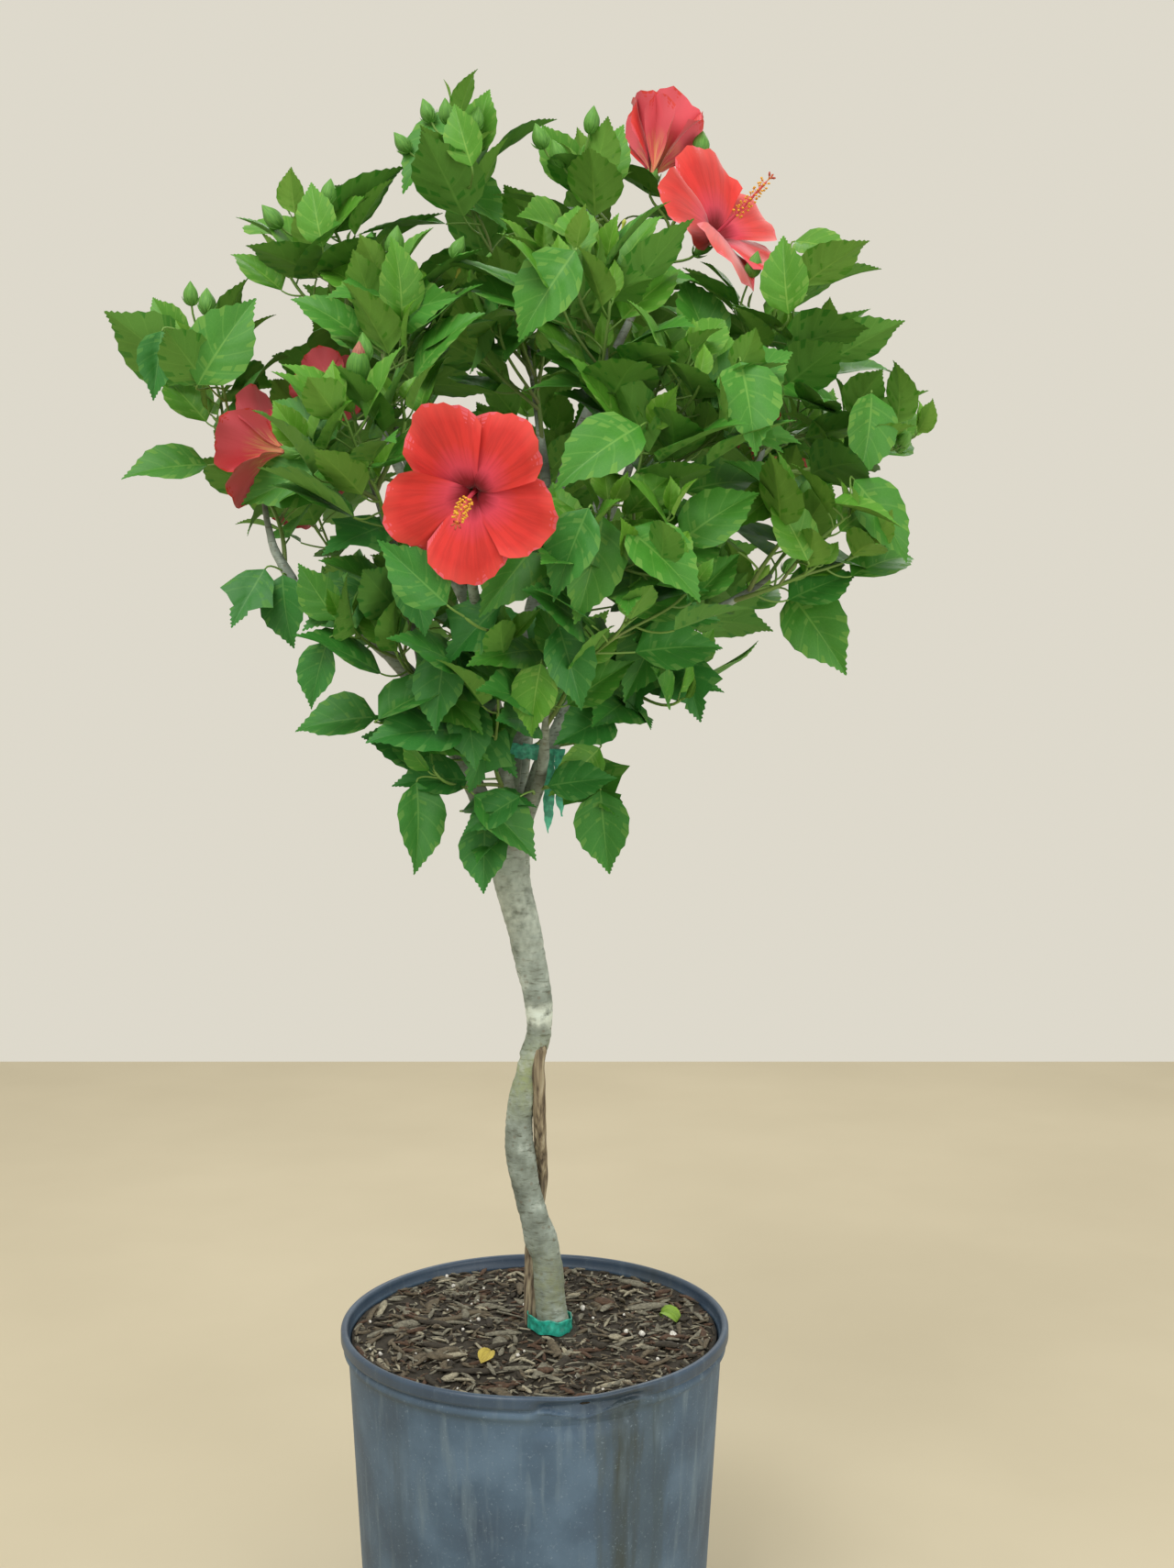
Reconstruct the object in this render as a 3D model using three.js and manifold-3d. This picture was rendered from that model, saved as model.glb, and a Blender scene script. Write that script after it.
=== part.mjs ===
// A hibiscus grown as a standard: one winding trunk, a vase of boughs and a loose round head of leaves
// and blooms, in a nursery pot. Millimetres, +Z up, origin at the centre of the pot's flat underside,
// front of the plant towards -Y.

import * as THREE from 'three';
import { mergeVertices } from 'three/addons/utils/BufferGeometryUtils.js';
import Module from 'manifold-3d';

const wasm = await Module();
wasm.setup();

// Clearance that every solid keeps to its neighbours, and how near two corners count as one.
const gap = 0.3;
const mergeDistance = 0.001;

// Pot: a thin tapering wall with a collar band and a rolled rim.
const potHeight = 300;
const potFootRadius = 154;
const potWallTopRadius = 171;
const potCollarRadius = 175.5;
const potRimRadius = 178;
const potCollarHeight = 17;
const potRimHeight = 14;
const potGroove = 3;
const potWall = 3;
const potFloor = 4;
const potEdgeRound = 3;
const potSides = 32;

// Growing mix inside it, with bark mulch on top, mounded a little round the trunk.
const soilEdgeHeight = 283;
const soilMoundHeight = 289;
const soilMoundRadius = 70;

// Limbs are many-sided and tapering.
const trunkSides = 10;
const boughSides = 6;
const stepsPerBend = 2;
const boughStepsPerBend = 2;
const endShare = 1e-6;

// Trunk: sideways place, depth, height and diameter at each bend, from the flared foot to the fork.
const trunkBends = [
  { x: 17, y: 0, z: soilMoundHeight + gap, across: 41 },
  { x: 16.5, y: 1, z: 312, across: 33 },
  { x: 12, y: 4, z: 350, across: 32 },
  { x: -4, y: 8, z: 402, across: 29 },
  { x: -14.5, y: 7, z: 466, across: 26 },
  { x: -9, y: 2, z: 515, across: 23 },
  { x: 5, y: -1, z: 570, across: 24 },
  { x: -5, y: 0, z: 641, across: 28 },
  { x: -20, y: 2, z: 700, across: 33 },
  { x: -23, y: 2, z: 762, across: 36 },
];

// Bare dead stem that winds round the back of the trunk and is grown over at its top.
const deadStemBends = [
  { x: -2, y: 7, z: soilMoundHeight + gap, across: 15 },
  { x: -4, y: 10, z: 330, across: 13 },
  { x: -2, y: 21, z: 378, across: 12 },
  { x: 8, y: 22, z: 425, across: 11 },
  { x: 9, y: 4, z: 470, across: 11 },
  { x: 8, y: -7, z: 520, across: 11 },
  { x: 7, y: -9, z: 561, across: 9 },
];

// Soft plastic tapes tied round the trunk's foot and round two of the boughs.
const tapeThickness = 1;
const tapeSegments = 6;
const baseTie = { x: 12.6, y: 2, z: 294, halfWidth: 24.5, halfDepth: 21.5, height: 12 };
const crownTie = { x: -4, y: -3, z: 815, halfWidth: 26.5, halfDepth: 12.5, height: 13 };
const crownTieTail = { x: 19, y: -10, width: 9, length: 44 };

// Boughs: each starts at a point on the trunk or an older bough and ends inside a mass of leaves.
const boughs = {
  bough_leader: {
    path: [[-22, 2, 742], [-21, 2, 821], [-6, 6, 925], [12, 14, 1020], [4, 30, 1120], [-8, 42, 1200]],
    across: [22, 9],
  },
  bough_left: {
    path: [[-30, -2, 738], [-62, -24, 810], [-100, -42, 880], [-150, -50, 930], [-204, -48, 962]],
    across: [20, 11],
  },
  bough_left_outer: {
    path: [[-200, -48, 958], [-226, -46, 1000], [-236, -42, 1050]],
    across: [11, 8],
  },
  bough_left_front: {
    path: [[-92, -38, 868], [-102, -70, 940], [-118, -112, 1010], [-134, -142, 1062]],
    across: [12, 8],
  },
  bough_left_middle: {
    path: [[-20, 3, 872], [-58, 0, 950], [-108, 4, 1050], [-150, 2, 1140], [-172, -8, 1222]],
    across: [13, 8],
  },
  bough_right: {
    path: [[-13, -2, 744], [12, -5, 821], [58, -16, 892], [118, -26, 950], [176, -26, 1030],
      [206, -22, 1092]],
    across: [20, 9],
  },
  bough_right_low: {
    path: [[66, -18, 896], [112, -44, 924], [158, -66, 944], [206, -78, 972]],
    across: [12, 8],
  },
  bough_front: {
    path: [[-6, 3, 905], [26, -46, 960], [54, -96, 1016], [66, -122, 1090], [62, -136, 1160]],
    across: [13, 8],
  },
  bough_front_left: {
    path: [[-22, -4, 770], [-30, -52, 850], [-42, -118, 930], [-46, -176, 980], [-42, -236, 1006]],
    across: [15, 8],
  },
  bough_low_front: {
    path: [[-16, -8, 748], [6, -38, 796], [12, -82, 836], [14, -118, 872]],
    across: [12, 8],
  },
  bough_back: {
    path: [[-18, 10, 744], [-12, 46, 830], [-4, 100, 930], [-2, 156, 1020], [-6, 206, 1086]],
    across: [20, 9],
  },
  bough_back_left: {
    path: [[-10, 56, 852], [-50, 82, 940], [-100, 112, 1040], [-136, 134, 1120], [-146, 142, 1184]],
    across: [13, 8],
  },
  bough_back_right: {
    path: [[-4, 92, 916], [44, 104, 1000], [88, 124, 1090], [112, 142, 1174]],
    across: [13, 8],
  },
  bough_top: {
    path: [[12, 16, 1030], [44, 18, 1120], [86, 14, 1210], [122, 8, 1284]],
    across: [11, 7],
  },
};

// Masses of leaves and blooms: sideways place, depth and height of the middle, then half width, half
// depth and half height. Each one is uneven in its own way and gives way to its neighbours.
const masses = {
  mass_top_left: { at: [-57, -25, 1328], size: [68, 66, 78] },
  mass_top_middle: { at: [40, -30, 1318], size: [60, 66, 74] },
  mass_top_blooms: { at: [160, 0, 1340], size: [76, 66, 86] },
  mass_top_back: { at: [0, 108, 1284], size: [98, 84, 84] },
  mass_upper_left: { at: [-190, -18, 1256], size: [88, 82, 70] },
  mass_upper_middle: { at: [-24, 36, 1216], size: [84, 76, 74] },
  mass_upper_front_left: { at: [-104, -110, 1188], size: [84, 72, 72] },
  mass_upper_front: { at: [34, -146, 1192], size: [88, 68, 88] },
  mass_upper_right: { at: [214, -20, 1212], size: [98, 82, 70] },
  mass_upper_back_left: { at: [-146, 140, 1216], size: [96, 90, 84] },
  mass_upper_back_right: { at: [128, 146, 1212], size: [98, 92, 86] },
  mass_left_tip: { at: [-278, -36, 1160], size: [80, 70, 82] },
  mass_left_leaf: { at: [-316, -30, 1064], size: [58, 42, 34] },
  mass_left_middle: { at: [-216, -16, 1076], size: [78, 78, 72] },
  mass_left_front: { at: [-140, -160, 1088], size: [84, 74, 74] },
  mass_back_left: { at: [-232, 126, 1100], size: [96, 96, 90] },
  mass_front_bloom: { at: [-38, -250, 1010], size: [74, 50, 72] },
  mass_right_front: { at: [134, -156, 1104], size: [86, 78, 76] },
  mass_right_tip: { at: [282, -4, 1106], size: [94, 84, 72] },
  mass_back_right: { at: [222, 130, 1104], size: [100, 96, 90] },
  mass_back: { at: [-6, 236, 1116], size: [108, 90, 94] },
  mass_front_right: { at: [76, -186, 984], size: [92, 72, 76] },
  mass_right_low: { at: [246, -80, 1004], size: [88, 72, 56] },
  mass_right_low_back: { at: [160, 112, 984], size: [92, 86, 66] },
  mass_left_low_back: { at: [-134, 122, 976], size: [94, 86, 70] },
  mass_left_low: { at: [-228, -60, 962], size: [48, 50, 54] },
  mass_left_low_front: { at: [-126, -118, 948], size: [78, 66, 62] },
  mass_right_droop: { at: [232, -60, 916], size: [64, 46, 42] },
  mass_low_right: { at: [116, -84, 898], size: [70, 58, 52] },
  mass_low_front: { at: [8, -134, 892], size: [72, 60, 66] },
  mass_low_back: { at: [20, 106, 896], size: [84, 60, 64] },
  mass_low_left: { at: [-84, -76, 842], size: [68, 54, 54] },
  mass_low_left_leaf: { at: [-160, -66, 842], size: [44, 36, 28] },
  mass_foot_right: { at: [50, -44, 762], size: [44, 42, 62] },
  mass_foot_left: { at: [-30, -54, 750], size: [48, 40, 62] },
};
const largeMass = 85;
const largeMassDetail = 2;
const smallMassDetail = 1;
const lobes = { mean: 0.98, broad: 0.06, middle: 0.05, fine: 0.04 };

const colours = {
  pot: 0x56626e,
  soil: 0x4a3a2c,
  bark: 0x8d8d79,
  deadWood: 0x8a6a4c,
  tape: 0x1c9c86,
  leaf: 0x3f8a2c,
  bloom: 0xd8322c,
};

function material(colour, roughness) {
  return new THREE.MeshStandardMaterial({ color: colour, roughness, metalness: 0, flatShading: true });
}

const materials = {
  pot: material(colours.pot, 0.6),
  soil: material(colours.soil, 0.95),
  bark: material(colours.bark, 0.85),
  deadWood: material(colours.deadWood, 0.8),
  tape: material(colours.tape, 0.45),
  leaf: material(colours.leaf, 0.55),
  bloom: material(colours.bloom, 0.6),
};

// A closed three.js geometry, with its shared corners merged, as a solid that can be cut.
function toSolid(geometry) {
  const bare = geometry.clone();
  bare.deleteAttribute('normal');
  bare.deleteAttribute('uv');
  const merged = mergeVertices(bare, mergeDistance);
  const mesh = new wasm.Mesh({
    numProp: 3,
    vertProperties: new Float32Array(merged.attributes.position.array),
    triVerts: new Uint32Array(merged.index.array),
  });
  return new wasm.Manifold(mesh);
}

// The largest piece of a solid, as a three.js geometry.
function toGeometry(solid) {
  const pieces = solid.decompose();
  pieces.sort((one, other) => other.volume() - one.volume());
  const mesh = pieces[0].getMesh();
  const geometry = new THREE.BufferGeometry();
  geometry.setAttribute('position', new THREE.BufferAttribute(mesh.vertProperties, 3));
  geometry.setIndex(new THREE.BufferAttribute(mesh.triVerts, 1));
  return geometry;
}

function boxesMeet(one, other) {
  const a = one.boundingBox();
  const b = other.boundingBox();
  return a.min.every((low, axis) => low < b.max[axis] && b.min[axis] < a.max[axis]);
}

function cutBy(solid, others) {
  let left = solid;
  for (const other of others) {
    if (boxesMeet(left, other)) {
      left = left.subtract(other);
    }
  }
  return left;
}

// A tapering limb: a closed cylinder bent along a smooth curve. Its diameter at the share t of its
// length is across(t), made wider all round by grow, and its flat ends move out by grow too. A limb
// with a level foot is cut flat across its lowest ring.
function limbGeometry(points, across, sides, steps, grow = 0, levelFoot = false) {
  const curve = new THREE.CatmullRomCurve3(points, false, 'centripetal');
  const geometry = new THREE.CylinderGeometry(1, 1, 1, sides, steps);
  const place = geometry.attributes.position;
  const corner = new THREE.Vector3();
  const sideways = new THREE.Vector3(1, 0, 0);
  for (let i = 0; i < place.count; i += 1) {
    corner.fromBufferAttribute(place, i);
    const t = THREE.MathUtils.clamp(corner.y + 0.5, 0, 1);
    const atFoot = t < endShare;
    const centre = curve.getPoint(t);
    const along = curve.getTangent(t);
    const front = new THREE.Vector3().crossVectors(sideways, along).normalize();
    const right = new THREE.Vector3().crossVectors(along, front);
    const radius = across(t) / 2 + grow;
    if (atFoot) {
      centre.addScaledVector(along, -grow);
    } else if (t > 1 - endShare) {
      centre.addScaledVector(along, grow);
    }
    centre.addScaledVector(right, corner.x * radius);
    centre.addScaledVector(front, corner.z * radius);
    const height = atFoot && levelFoot ? points[0].z - grow : centre.z;
    place.setXYZ(i, centre.x, centre.y, height);
  }
  return geometry;
}

// Diameter between the values given at equal steps along a limb, eased from one to the next.
function easedDiameter(values) {
  return (t) => {
    const place = t * (values.length - 1);
    const step = Math.min(Math.floor(place), values.length - 2);
    const share = THREE.MathUtils.smoothstep(place - step, 0, 1);
    return THREE.MathUtils.lerp(values[step], values[step + 1], share);
  };
}

function stemSolid(bends, sides, grow = 0) {
  const points = bends.map((bend) => new THREE.Vector3(bend.x, bend.y, bend.z));
  const across = easedDiameter(bends.map((bend) => bend.across));
  const steps = stepsPerBend * (bends.length - 1);
  return toSolid(limbGeometry(points, across, sides, steps, grow, true));
}

function boughSolid({ path, across }, grow = 0) {
  const points = path.map((point) => new THREE.Vector3(...point));
  const diameter = (t) => THREE.MathUtils.lerp(across[0], across[1], t);
  const steps = boughStepsPerBend * (path.length - 1);
  return toSolid(limbGeometry(points, diameter, boughSides, steps, grow));
}

function potGeometry() {
  const rimFoot = potHeight - potRimHeight;
  const collarTop = rimFoot - potGroove;
  const collarFoot = collarTop - potCollarHeight;
  const innerFoot = potFootRadius - potWall;
  const innerTop = potWallTopRadius - potWall;
  const grooveRadius = potCollarRadius - potGroove;
  const outline = [
    [0, 0],
    [potFootRadius - potEdgeRound, 0],
    [potFootRadius, potEdgeRound],
    [potWallTopRadius, collarFoot - potEdgeRound],
    [potCollarRadius, collarFoot],
    [potCollarRadius, collarTop],
    [grooveRadius, rimFoot],
    [potRimRadius, rimFoot + potEdgeRound],
    [potRimRadius, potHeight - potEdgeRound],
    [potRimRadius - potEdgeRound, potHeight],
    [potRimRadius - 2 * potEdgeRound, potHeight],
    [innerTop, collarFoot],
    [innerFoot, potFloor],
    [0, potFloor],
  ];
  const profile = outline.map(([radius, height]) => new THREE.Vector2(radius, height));
  return new THREE.LatheGeometry(profile, potSides).rotateX(Math.PI / 2);
}

function soilGeometry() {
  const collarFoot = potHeight - potRimHeight - potGroove - potCollarHeight;
  const fillFoot = potFloor + gap;
  const innerFoot = potFootRadius - potWall;
  const innerTop = potWallTopRadius - potWall;
  const slope = (innerTop - innerFoot) / (collarFoot - potFloor);
  const wallGap = 2 * gap;
  const outline = [
    [0, fillFoot],
    [innerFoot + slope * gap - wallGap, fillFoot],
    [innerTop - wallGap, collarFoot],
    [innerTop - wallGap, soilEdgeHeight],
    [soilMoundRadius, soilMoundHeight],
    [0, soilMoundHeight],
  ];
  const profile = outline.map(([radius, height]) => new THREE.Vector2(radius, height));
  return new THREE.LatheGeometry(profile, potSides).rotateX(Math.PI / 2);
}

// A flat tape that runs round an oval, as a solid band standing on its lower edge.
function bandSolid({ x, y, z, halfWidth, halfDepth, height }) {
  const band = new THREE.Shape();
  band.absellipse(0, 0, halfWidth + tapeThickness, halfDepth + tapeThickness, 0, 2 * Math.PI);
  const inside = new THREE.Path();
  inside.absellipse(0, 0, halfWidth, halfDepth, 0, 2 * Math.PI, true);
  band.holes.push(inside);
  const options = { depth: height, bevelEnabled: false, curveSegments: tapeSegments };
  return toSolid(new THREE.ExtrudeGeometry(band, options).translate(x, y, z));
}

function tieTailSolid() {
  const { x, y, width, length } = crownTieTail;
  const top = crownTie.z + crownTie.height / 2;
  const tail = new THREE.BoxGeometry(width, 2 * tapeThickness, length);
  return toSolid(tail.translate(x, y, top - length / 2));
}

// How far a mass reaches in one direction, as a share of its size: broad lobes and smaller ones on
// them, turned by the mass's own number so that no two are alike.
function unevenness(direction, number) {
  const broad = Math.sin(3 * direction.x + 2 * direction.z + number * 1.7);
  const middle = Math.sin(4 * direction.y - 3 * direction.x + number * 2.3);
  const fine = Math.sin(7 * direction.z + 5 * direction.y + number * 0.9);
  return lobes.mean + lobes.broad * broad + lobes.middle * middle + lobes.fine * fine;
}

// An uneven ball that stops halfway to each of its neighbours.
function massSolid({ at, size }, number, others) {
  const middle = new THREE.Vector3(...at);
  const detail = Math.max(...size) > largeMass ? largeMassDetail : smallMassDetail;
  const geometry = new THREE.IcosahedronGeometry(1, detail);
  const place = geometry.attributes.position;
  const direction = new THREE.Vector3();
  for (let i = 0; i < place.count; i += 1) {
    direction.fromBufferAttribute(place, i).normalize();
    const point = direction.clone().multiply(new THREE.Vector3(...size));
    point.multiplyScalar(unevenness(direction, number));
    let share = 1;
    for (const other of others) {
      share = Math.min(share, shareToBorder(middle, point, size, other));
    }
    point.multiplyScalar(share).add(middle);
    place.setXYZ(i, point.x, point.y, point.z);
  }
  return toSolid(geometry);
}

// The share of a reach that fits before the flat border between two masses. The border stands where
// the line between their middles is divided by their sizes.
function shareToBorder(middle, reach, size, other) {
  const across = new THREE.Vector3(...other.at).sub(middle);
  const apart = across.length();
  across.divideScalar(apart);
  const own = reachTowards(size, across);
  const theirs = reachTowards(other.size, across);
  const border = (apart * own) / (own + theirs) - gap / 2;
  const outward = reach.dot(across);
  return outward > border ? border / outward : 1;
}

function reachTowards(size, direction) {
  const scaled = direction.clone().divide(new THREE.Vector3(...size));
  return 1 / scaled.length();
}

const plant = new THREE.Group();

function addMesh(name, geometry, finish) {
  const mesh = new THREE.Mesh(geometry, finish);
  mesh.name = name;
  plant.add(mesh);
}

addMesh('pot', potGeometry(), materials.pot);
addMesh('soil', soilGeometry(), materials.soil);

// Limbs, oldest first: each keeps clear of the ones before it, and the masses are cut round them all.
const grownLimbs = [];

function addLimb(name, solid, grownSolid, finish) {
  addMesh(name, toGeometry(cutBy(solid, grownLimbs)), finish);
  grownLimbs.push(grownSolid);
}

const deadStem = stemSolid(deadStemBends, boughSides);
const trunk = stemSolid(trunkBends, trunkSides);
addLimb('dead_stem', deadStem, stemSolid(deadStemBends, boughSides, gap), materials.deadWood);
addLimb('trunk', trunk, stemSolid(trunkBends, trunkSides, gap), materials.bark);
for (const [name, bough] of Object.entries(boughs)) {
  addLimb(name, boughSolid(bough), boughSolid(bough, gap), materials.bark);
}

// Tapes go round the limbs, and the masses are cut round them too.
const crownTape = bandSolid(crownTie).add(tieTailSolid());
addMesh('base_tie', toGeometry(cutBy(bandSolid(baseTie), grownLimbs)), materials.tape);
addMesh('crown_tie', toGeometry(cutBy(crownTape, grownLimbs)), materials.tape);
const grownTie = {
  ...crownTie,
  halfWidth: crownTie.halfWidth + gap,
  halfDepth: crownTie.halfDepth + gap,
};
grownLimbs.push(bandSolid(grownTie));

Object.entries(masses).forEach(([name, mass], number) => {
  const others = Object.values(masses).filter((other) => other !== mass);
  const solid = cutBy(massSolid(mass, number, others), grownLimbs);
  addMesh(name, toGeometry(solid), name.includes('bloom') ? materials.bloom : materials.leaf);
});

export default plant;
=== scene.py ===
import math
import random

import bpy
import numpy as np
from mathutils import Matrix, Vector, noise


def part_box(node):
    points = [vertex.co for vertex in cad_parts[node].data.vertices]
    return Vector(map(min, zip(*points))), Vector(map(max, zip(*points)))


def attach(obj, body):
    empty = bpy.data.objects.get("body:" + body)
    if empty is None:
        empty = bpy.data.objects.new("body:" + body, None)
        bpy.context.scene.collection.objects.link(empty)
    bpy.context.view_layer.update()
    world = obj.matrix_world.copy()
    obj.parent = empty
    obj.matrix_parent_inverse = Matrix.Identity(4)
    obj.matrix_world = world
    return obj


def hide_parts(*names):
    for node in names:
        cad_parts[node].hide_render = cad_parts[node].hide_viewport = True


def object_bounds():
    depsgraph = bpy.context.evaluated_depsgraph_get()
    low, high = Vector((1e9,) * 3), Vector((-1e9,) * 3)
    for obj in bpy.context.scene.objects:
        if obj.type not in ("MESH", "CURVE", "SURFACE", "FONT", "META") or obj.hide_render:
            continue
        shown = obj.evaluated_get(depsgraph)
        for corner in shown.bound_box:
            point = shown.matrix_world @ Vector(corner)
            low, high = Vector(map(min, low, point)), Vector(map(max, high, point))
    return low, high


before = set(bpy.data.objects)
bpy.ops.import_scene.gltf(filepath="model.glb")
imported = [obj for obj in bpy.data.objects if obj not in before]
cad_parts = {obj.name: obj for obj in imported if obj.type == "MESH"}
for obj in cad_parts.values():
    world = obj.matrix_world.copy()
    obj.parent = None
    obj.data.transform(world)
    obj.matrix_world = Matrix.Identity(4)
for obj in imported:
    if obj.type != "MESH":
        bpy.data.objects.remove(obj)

# A hibiscus standard in a nursery pot. Metres; the front of the plant faces -Y and +X is its right.
cadLow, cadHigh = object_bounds()
mm = 0.001
up = np.array([0.0, 0.0, 1.0])
goldenTurn = math.radians(137.5)  # the turn from one leaf to the next round a stem
patternMap = "OFBake"  # flat map that leaf, petal and stem patterns are laid out on
print("frame loaded:", len(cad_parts), "nodes")


# Colours, nodes and materials in general

def hexColour(text):
    parts = [int(text[i:i + 2], 16) / 255 for i in (1, 3, 5)]
    linear = [c / 12.92 if c <= 0.04045 else ((c + 0.055) / 1.055) ** 2.4 for c in parts]
    return (*linear, 1.0)


def shaded(colour, share):
    # The same colour with only this share of its light.
    return (*(share * c for c in colour[:3]), 1.0)


def perMetre(size):
    # Texture scale that gives a pattern of this many millimetres.
    return 1 / (size * mm)


def fillSockets(tree, node, inputs):
    # Gives each input its value, or links it to the node or socket that it is filled from. "From"
    # and "To" give both ends of a range.
    for key, value in inputs.items():
        if key in ("From", "To"):
            fillSockets(tree, node, {key + " Min": value[0], key + " Max": value[1]})
            continue
        if isinstance(key, str):
            socket = next(s for s in node.inputs if s.enabled and s.name == key)
        else:
            socket = node.inputs[key]
        if isinstance(value, bpy.types.Node):
            value = next(s for s in value.outputs if s.enabled)
        if isinstance(value, bpy.types.NodeSocket):
            tree.links.new(value, socket)
        else:
            socket.default_value = value


def addNode(tree, kind, inputs=None, stops=None, **settings):
    # Adds one node: its settings first, then its inputs and, on a colour ramp, its stops.
    node = tree.nodes.new("ShaderNode" + kind)
    if kind == "Mix":
        node.data_type = "RGBA"  # every mix here is of colours
    for name, value in settings.items():
        setattr(node, name, value)
    fillSockets(tree, node, inputs or {})
    if stops:
        points = node.color_ramp.elements
        points[0].position = stops[0][0]
        points[1].position = stops[-1][0]
        for place, colour in stops[1:-1]:
            points.new(place)
        for point, (place, colour) in zip(points, stops):
            point.color = hexColour(colour)
    return node


def newMaterial(name, roughness, ior=1.45, mapped=False):
    # A material and where its patterns lie: on the flat map, or in the space round the piece.
    material = bpy.data.materials.new(name)
    material.use_nodes = True
    tree = material.node_tree
    shader = tree.nodes["Principled BSDF"]
    fillSockets(tree, shader, {"Roughness": roughness, "IOR": ior})
    if mapped:
        return material, tree, shader, addNode(tree, "UVMap", uv_map=patternMap)
    return material, tree, shader, addNode(tree, "TexCoord").outputs["Object"]


# Shapes in general

class Batch:
    # Gathers grids of points, each with its place on a flat map, and makes one piece of them.
    def __init__(self):
        self.points = []
        self.corners = []
        self.places = []
        self.count = 0

    def addGrid(self, grid, place=None, wrap=False, flip=False):
        rows, columns = grid.shape[:2]
        index = self.count + np.arange(rows * columns).reshape(rows, columns)
        if wrap:
            index = np.concatenate([index, index[:, :1]], 1)
        if place is None:
            place = np.zeros((*index.shape, 2))

        def quads(values):
            ways = [values[:-1, :-1], values[:-1, 1:], values[1:, 1:], values[1:, :-1]]
            if flip:
                ways.reverse()
            return np.stack(ways, 2).reshape(-1, 4, *values.shape[2:])

        self.points.append(grid.reshape(-1, 3))
        self.corners.append(quads(index))
        self.places.append(quads(place))
        self.count += rows * columns

    def makePiece(self, name, material, recordSlot, mapped=False):
        points = np.concatenate(self.points).astype(np.float32)
        corners = np.concatenate(self.corners).astype(np.int32)
        mesh = bpy.data.meshes.new(name)
        mesh.vertices.add(len(points))
        mesh.vertices.foreach_set("co", points.ravel())
        mesh.loops.add(corners.size)
        mesh.loops.foreach_set("vertex_index", corners.ravel())
        mesh.polygons.add(len(corners))
        mesh.polygons.foreach_set("loop_start", np.arange(0, corners.size, 4, dtype=np.int32))
        mesh.polygons.foreach_set("use_smooth", np.ones(len(corners), bool))
        if mapped:
            layer = mesh.uv_layers.new(name=patternMap)
            layer.uv.foreach_set("vector", np.concatenate(self.places).astype(np.float32).ravel())
        mesh.update(calc_edges=True)
        mesh.materials.append(material)
        piece = bpy.data.objects.new(name, mesh)
        bpy.context.scene.collection.objects.link(piece)
        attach(piece, "root")
        print(f"  {name}: {len(corners)} quads")
        return piece


def unit(vectors):
    return vectors / np.maximum(np.linalg.norm(vectors, axis=-1, keepdims=True), 1e-12)


def smoothStep(value, low, high):
    share = np.clip((value - low) / (high - low), 0, 1)
    return share * share * (3 - 2 * share)


def equalSteps(curve, count):
    # The curve again, with this many points at equal steps along it.
    steps = np.linalg.norm(np.diff(curve[:, :3], axis=0), axis=1)
    lengths = np.concatenate([[0], np.cumsum(steps)])
    wanted = np.linspace(0, lengths[-1], count)
    return np.stack([np.interp(wanted, lengths, column) for column in curve.T], 1)


def smoothLine(points, count):
    # A Catmull-Rom curve through the points.
    p = np.asarray(points, float)
    p = np.concatenate([2 * p[:1] - p[1:2], p, 2 * p[-1:] - p[-2:-1]])
    t = np.linspace(0, 1, 12, endpoint=False)[:, None]
    parts = []
    for a, b, c, d in zip(p[:-3], p[1:-2], p[2:-1], p[3:]):
        bend = (c - a) * t + (2 * a - 5 * b + 4 * c - d) * t ** 2 + (3 * b - a - 3 * c + d) * t ** 3
        parts.append(b + bend / 2)
    return equalSteps(np.concatenate([*parts, p[-2:-1]]), count)


def bendLine(start, leaving, end, arriving, count):
    # A Bezier curve that leaves and arrives in the directions given.
    reach = np.linalg.norm(end - start) * 0.36
    t = np.linspace(0, 1, count)[:, None]
    first, second = start + leaving * reach, end - arriving * reach
    return ((1 - t) ** 3 * start + 3 * t * (1 - t) ** 2 * first
            + 3 * t ** 2 * (1 - t) * second + t ** 3 * end)


def tubeGrid(line, radii, sides):
    # Rings round a line. Each radius is one number for a ring, or one for each point of it.
    along = unit(np.gradient(line, axis=0))
    guide = np.eye(3)[np.argmin(np.abs(along).mean(0))]
    side = unit(np.cross(along, guide))
    other = np.cross(along, side)
    turn = np.linspace(0, 2 * math.pi, sides, endpoint=False)
    radii = np.broadcast_to(np.reshape(radii, (len(line), -1)), (len(line), sides))[..., None]
    spokes = np.cos(turn)[:, None] * side[:, None] + np.sin(turn)[:, None] * other[:, None]
    return line[:, None] + radii * spokes


def spoke(angle, side, other):
    # The way at this angle round, from one of two square directions towards the other.
    return math.cos(angle) * side + math.sin(angle) * other


def fromFront(degrees, rise=0.0):
    # The way this many degrees round a limb, from its front to its right.
    angle = math.radians(degrees)
    return np.array([math.sin(angle), -math.cos(angle), rise])


def pointOn(line, places, place):
    # The point at one place on a line whose points lie at the places given.
    return np.array([np.interp(place, places, line[:, k]) for k in range(3)])


def tubePlaces(rows, sides, columns=(0.0, 1.0), lengths=(0.0, 1.0)):
    across, along = np.meshgrid(np.linspace(*columns, sides + 1), np.linspace(*lengths, rows))
    return np.stack([across, along], 2)


def noiseAt(points, size, seed):
    # Smooth noise from -1 to 1 whose bumps are about this many metres apart.
    flat = points.reshape(-1, 3) / size + seed * 7.31
    return np.array([noise.noise(Vector(p)) for p in flat]).reshape(points.shape[:-1])


def nodeMesh(name):
    # A frame solid's corners and edges.
    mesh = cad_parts[name].data
    points = np.empty(len(mesh.vertices) * 3)
    mesh.vertices.foreach_get("co", points)
    edges = np.empty(len(mesh.edges) * 2, int)
    mesh.edges.foreach_get("vertices", edges)
    return points.reshape(-1, 3), edges.reshape(-1, 2)


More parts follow.
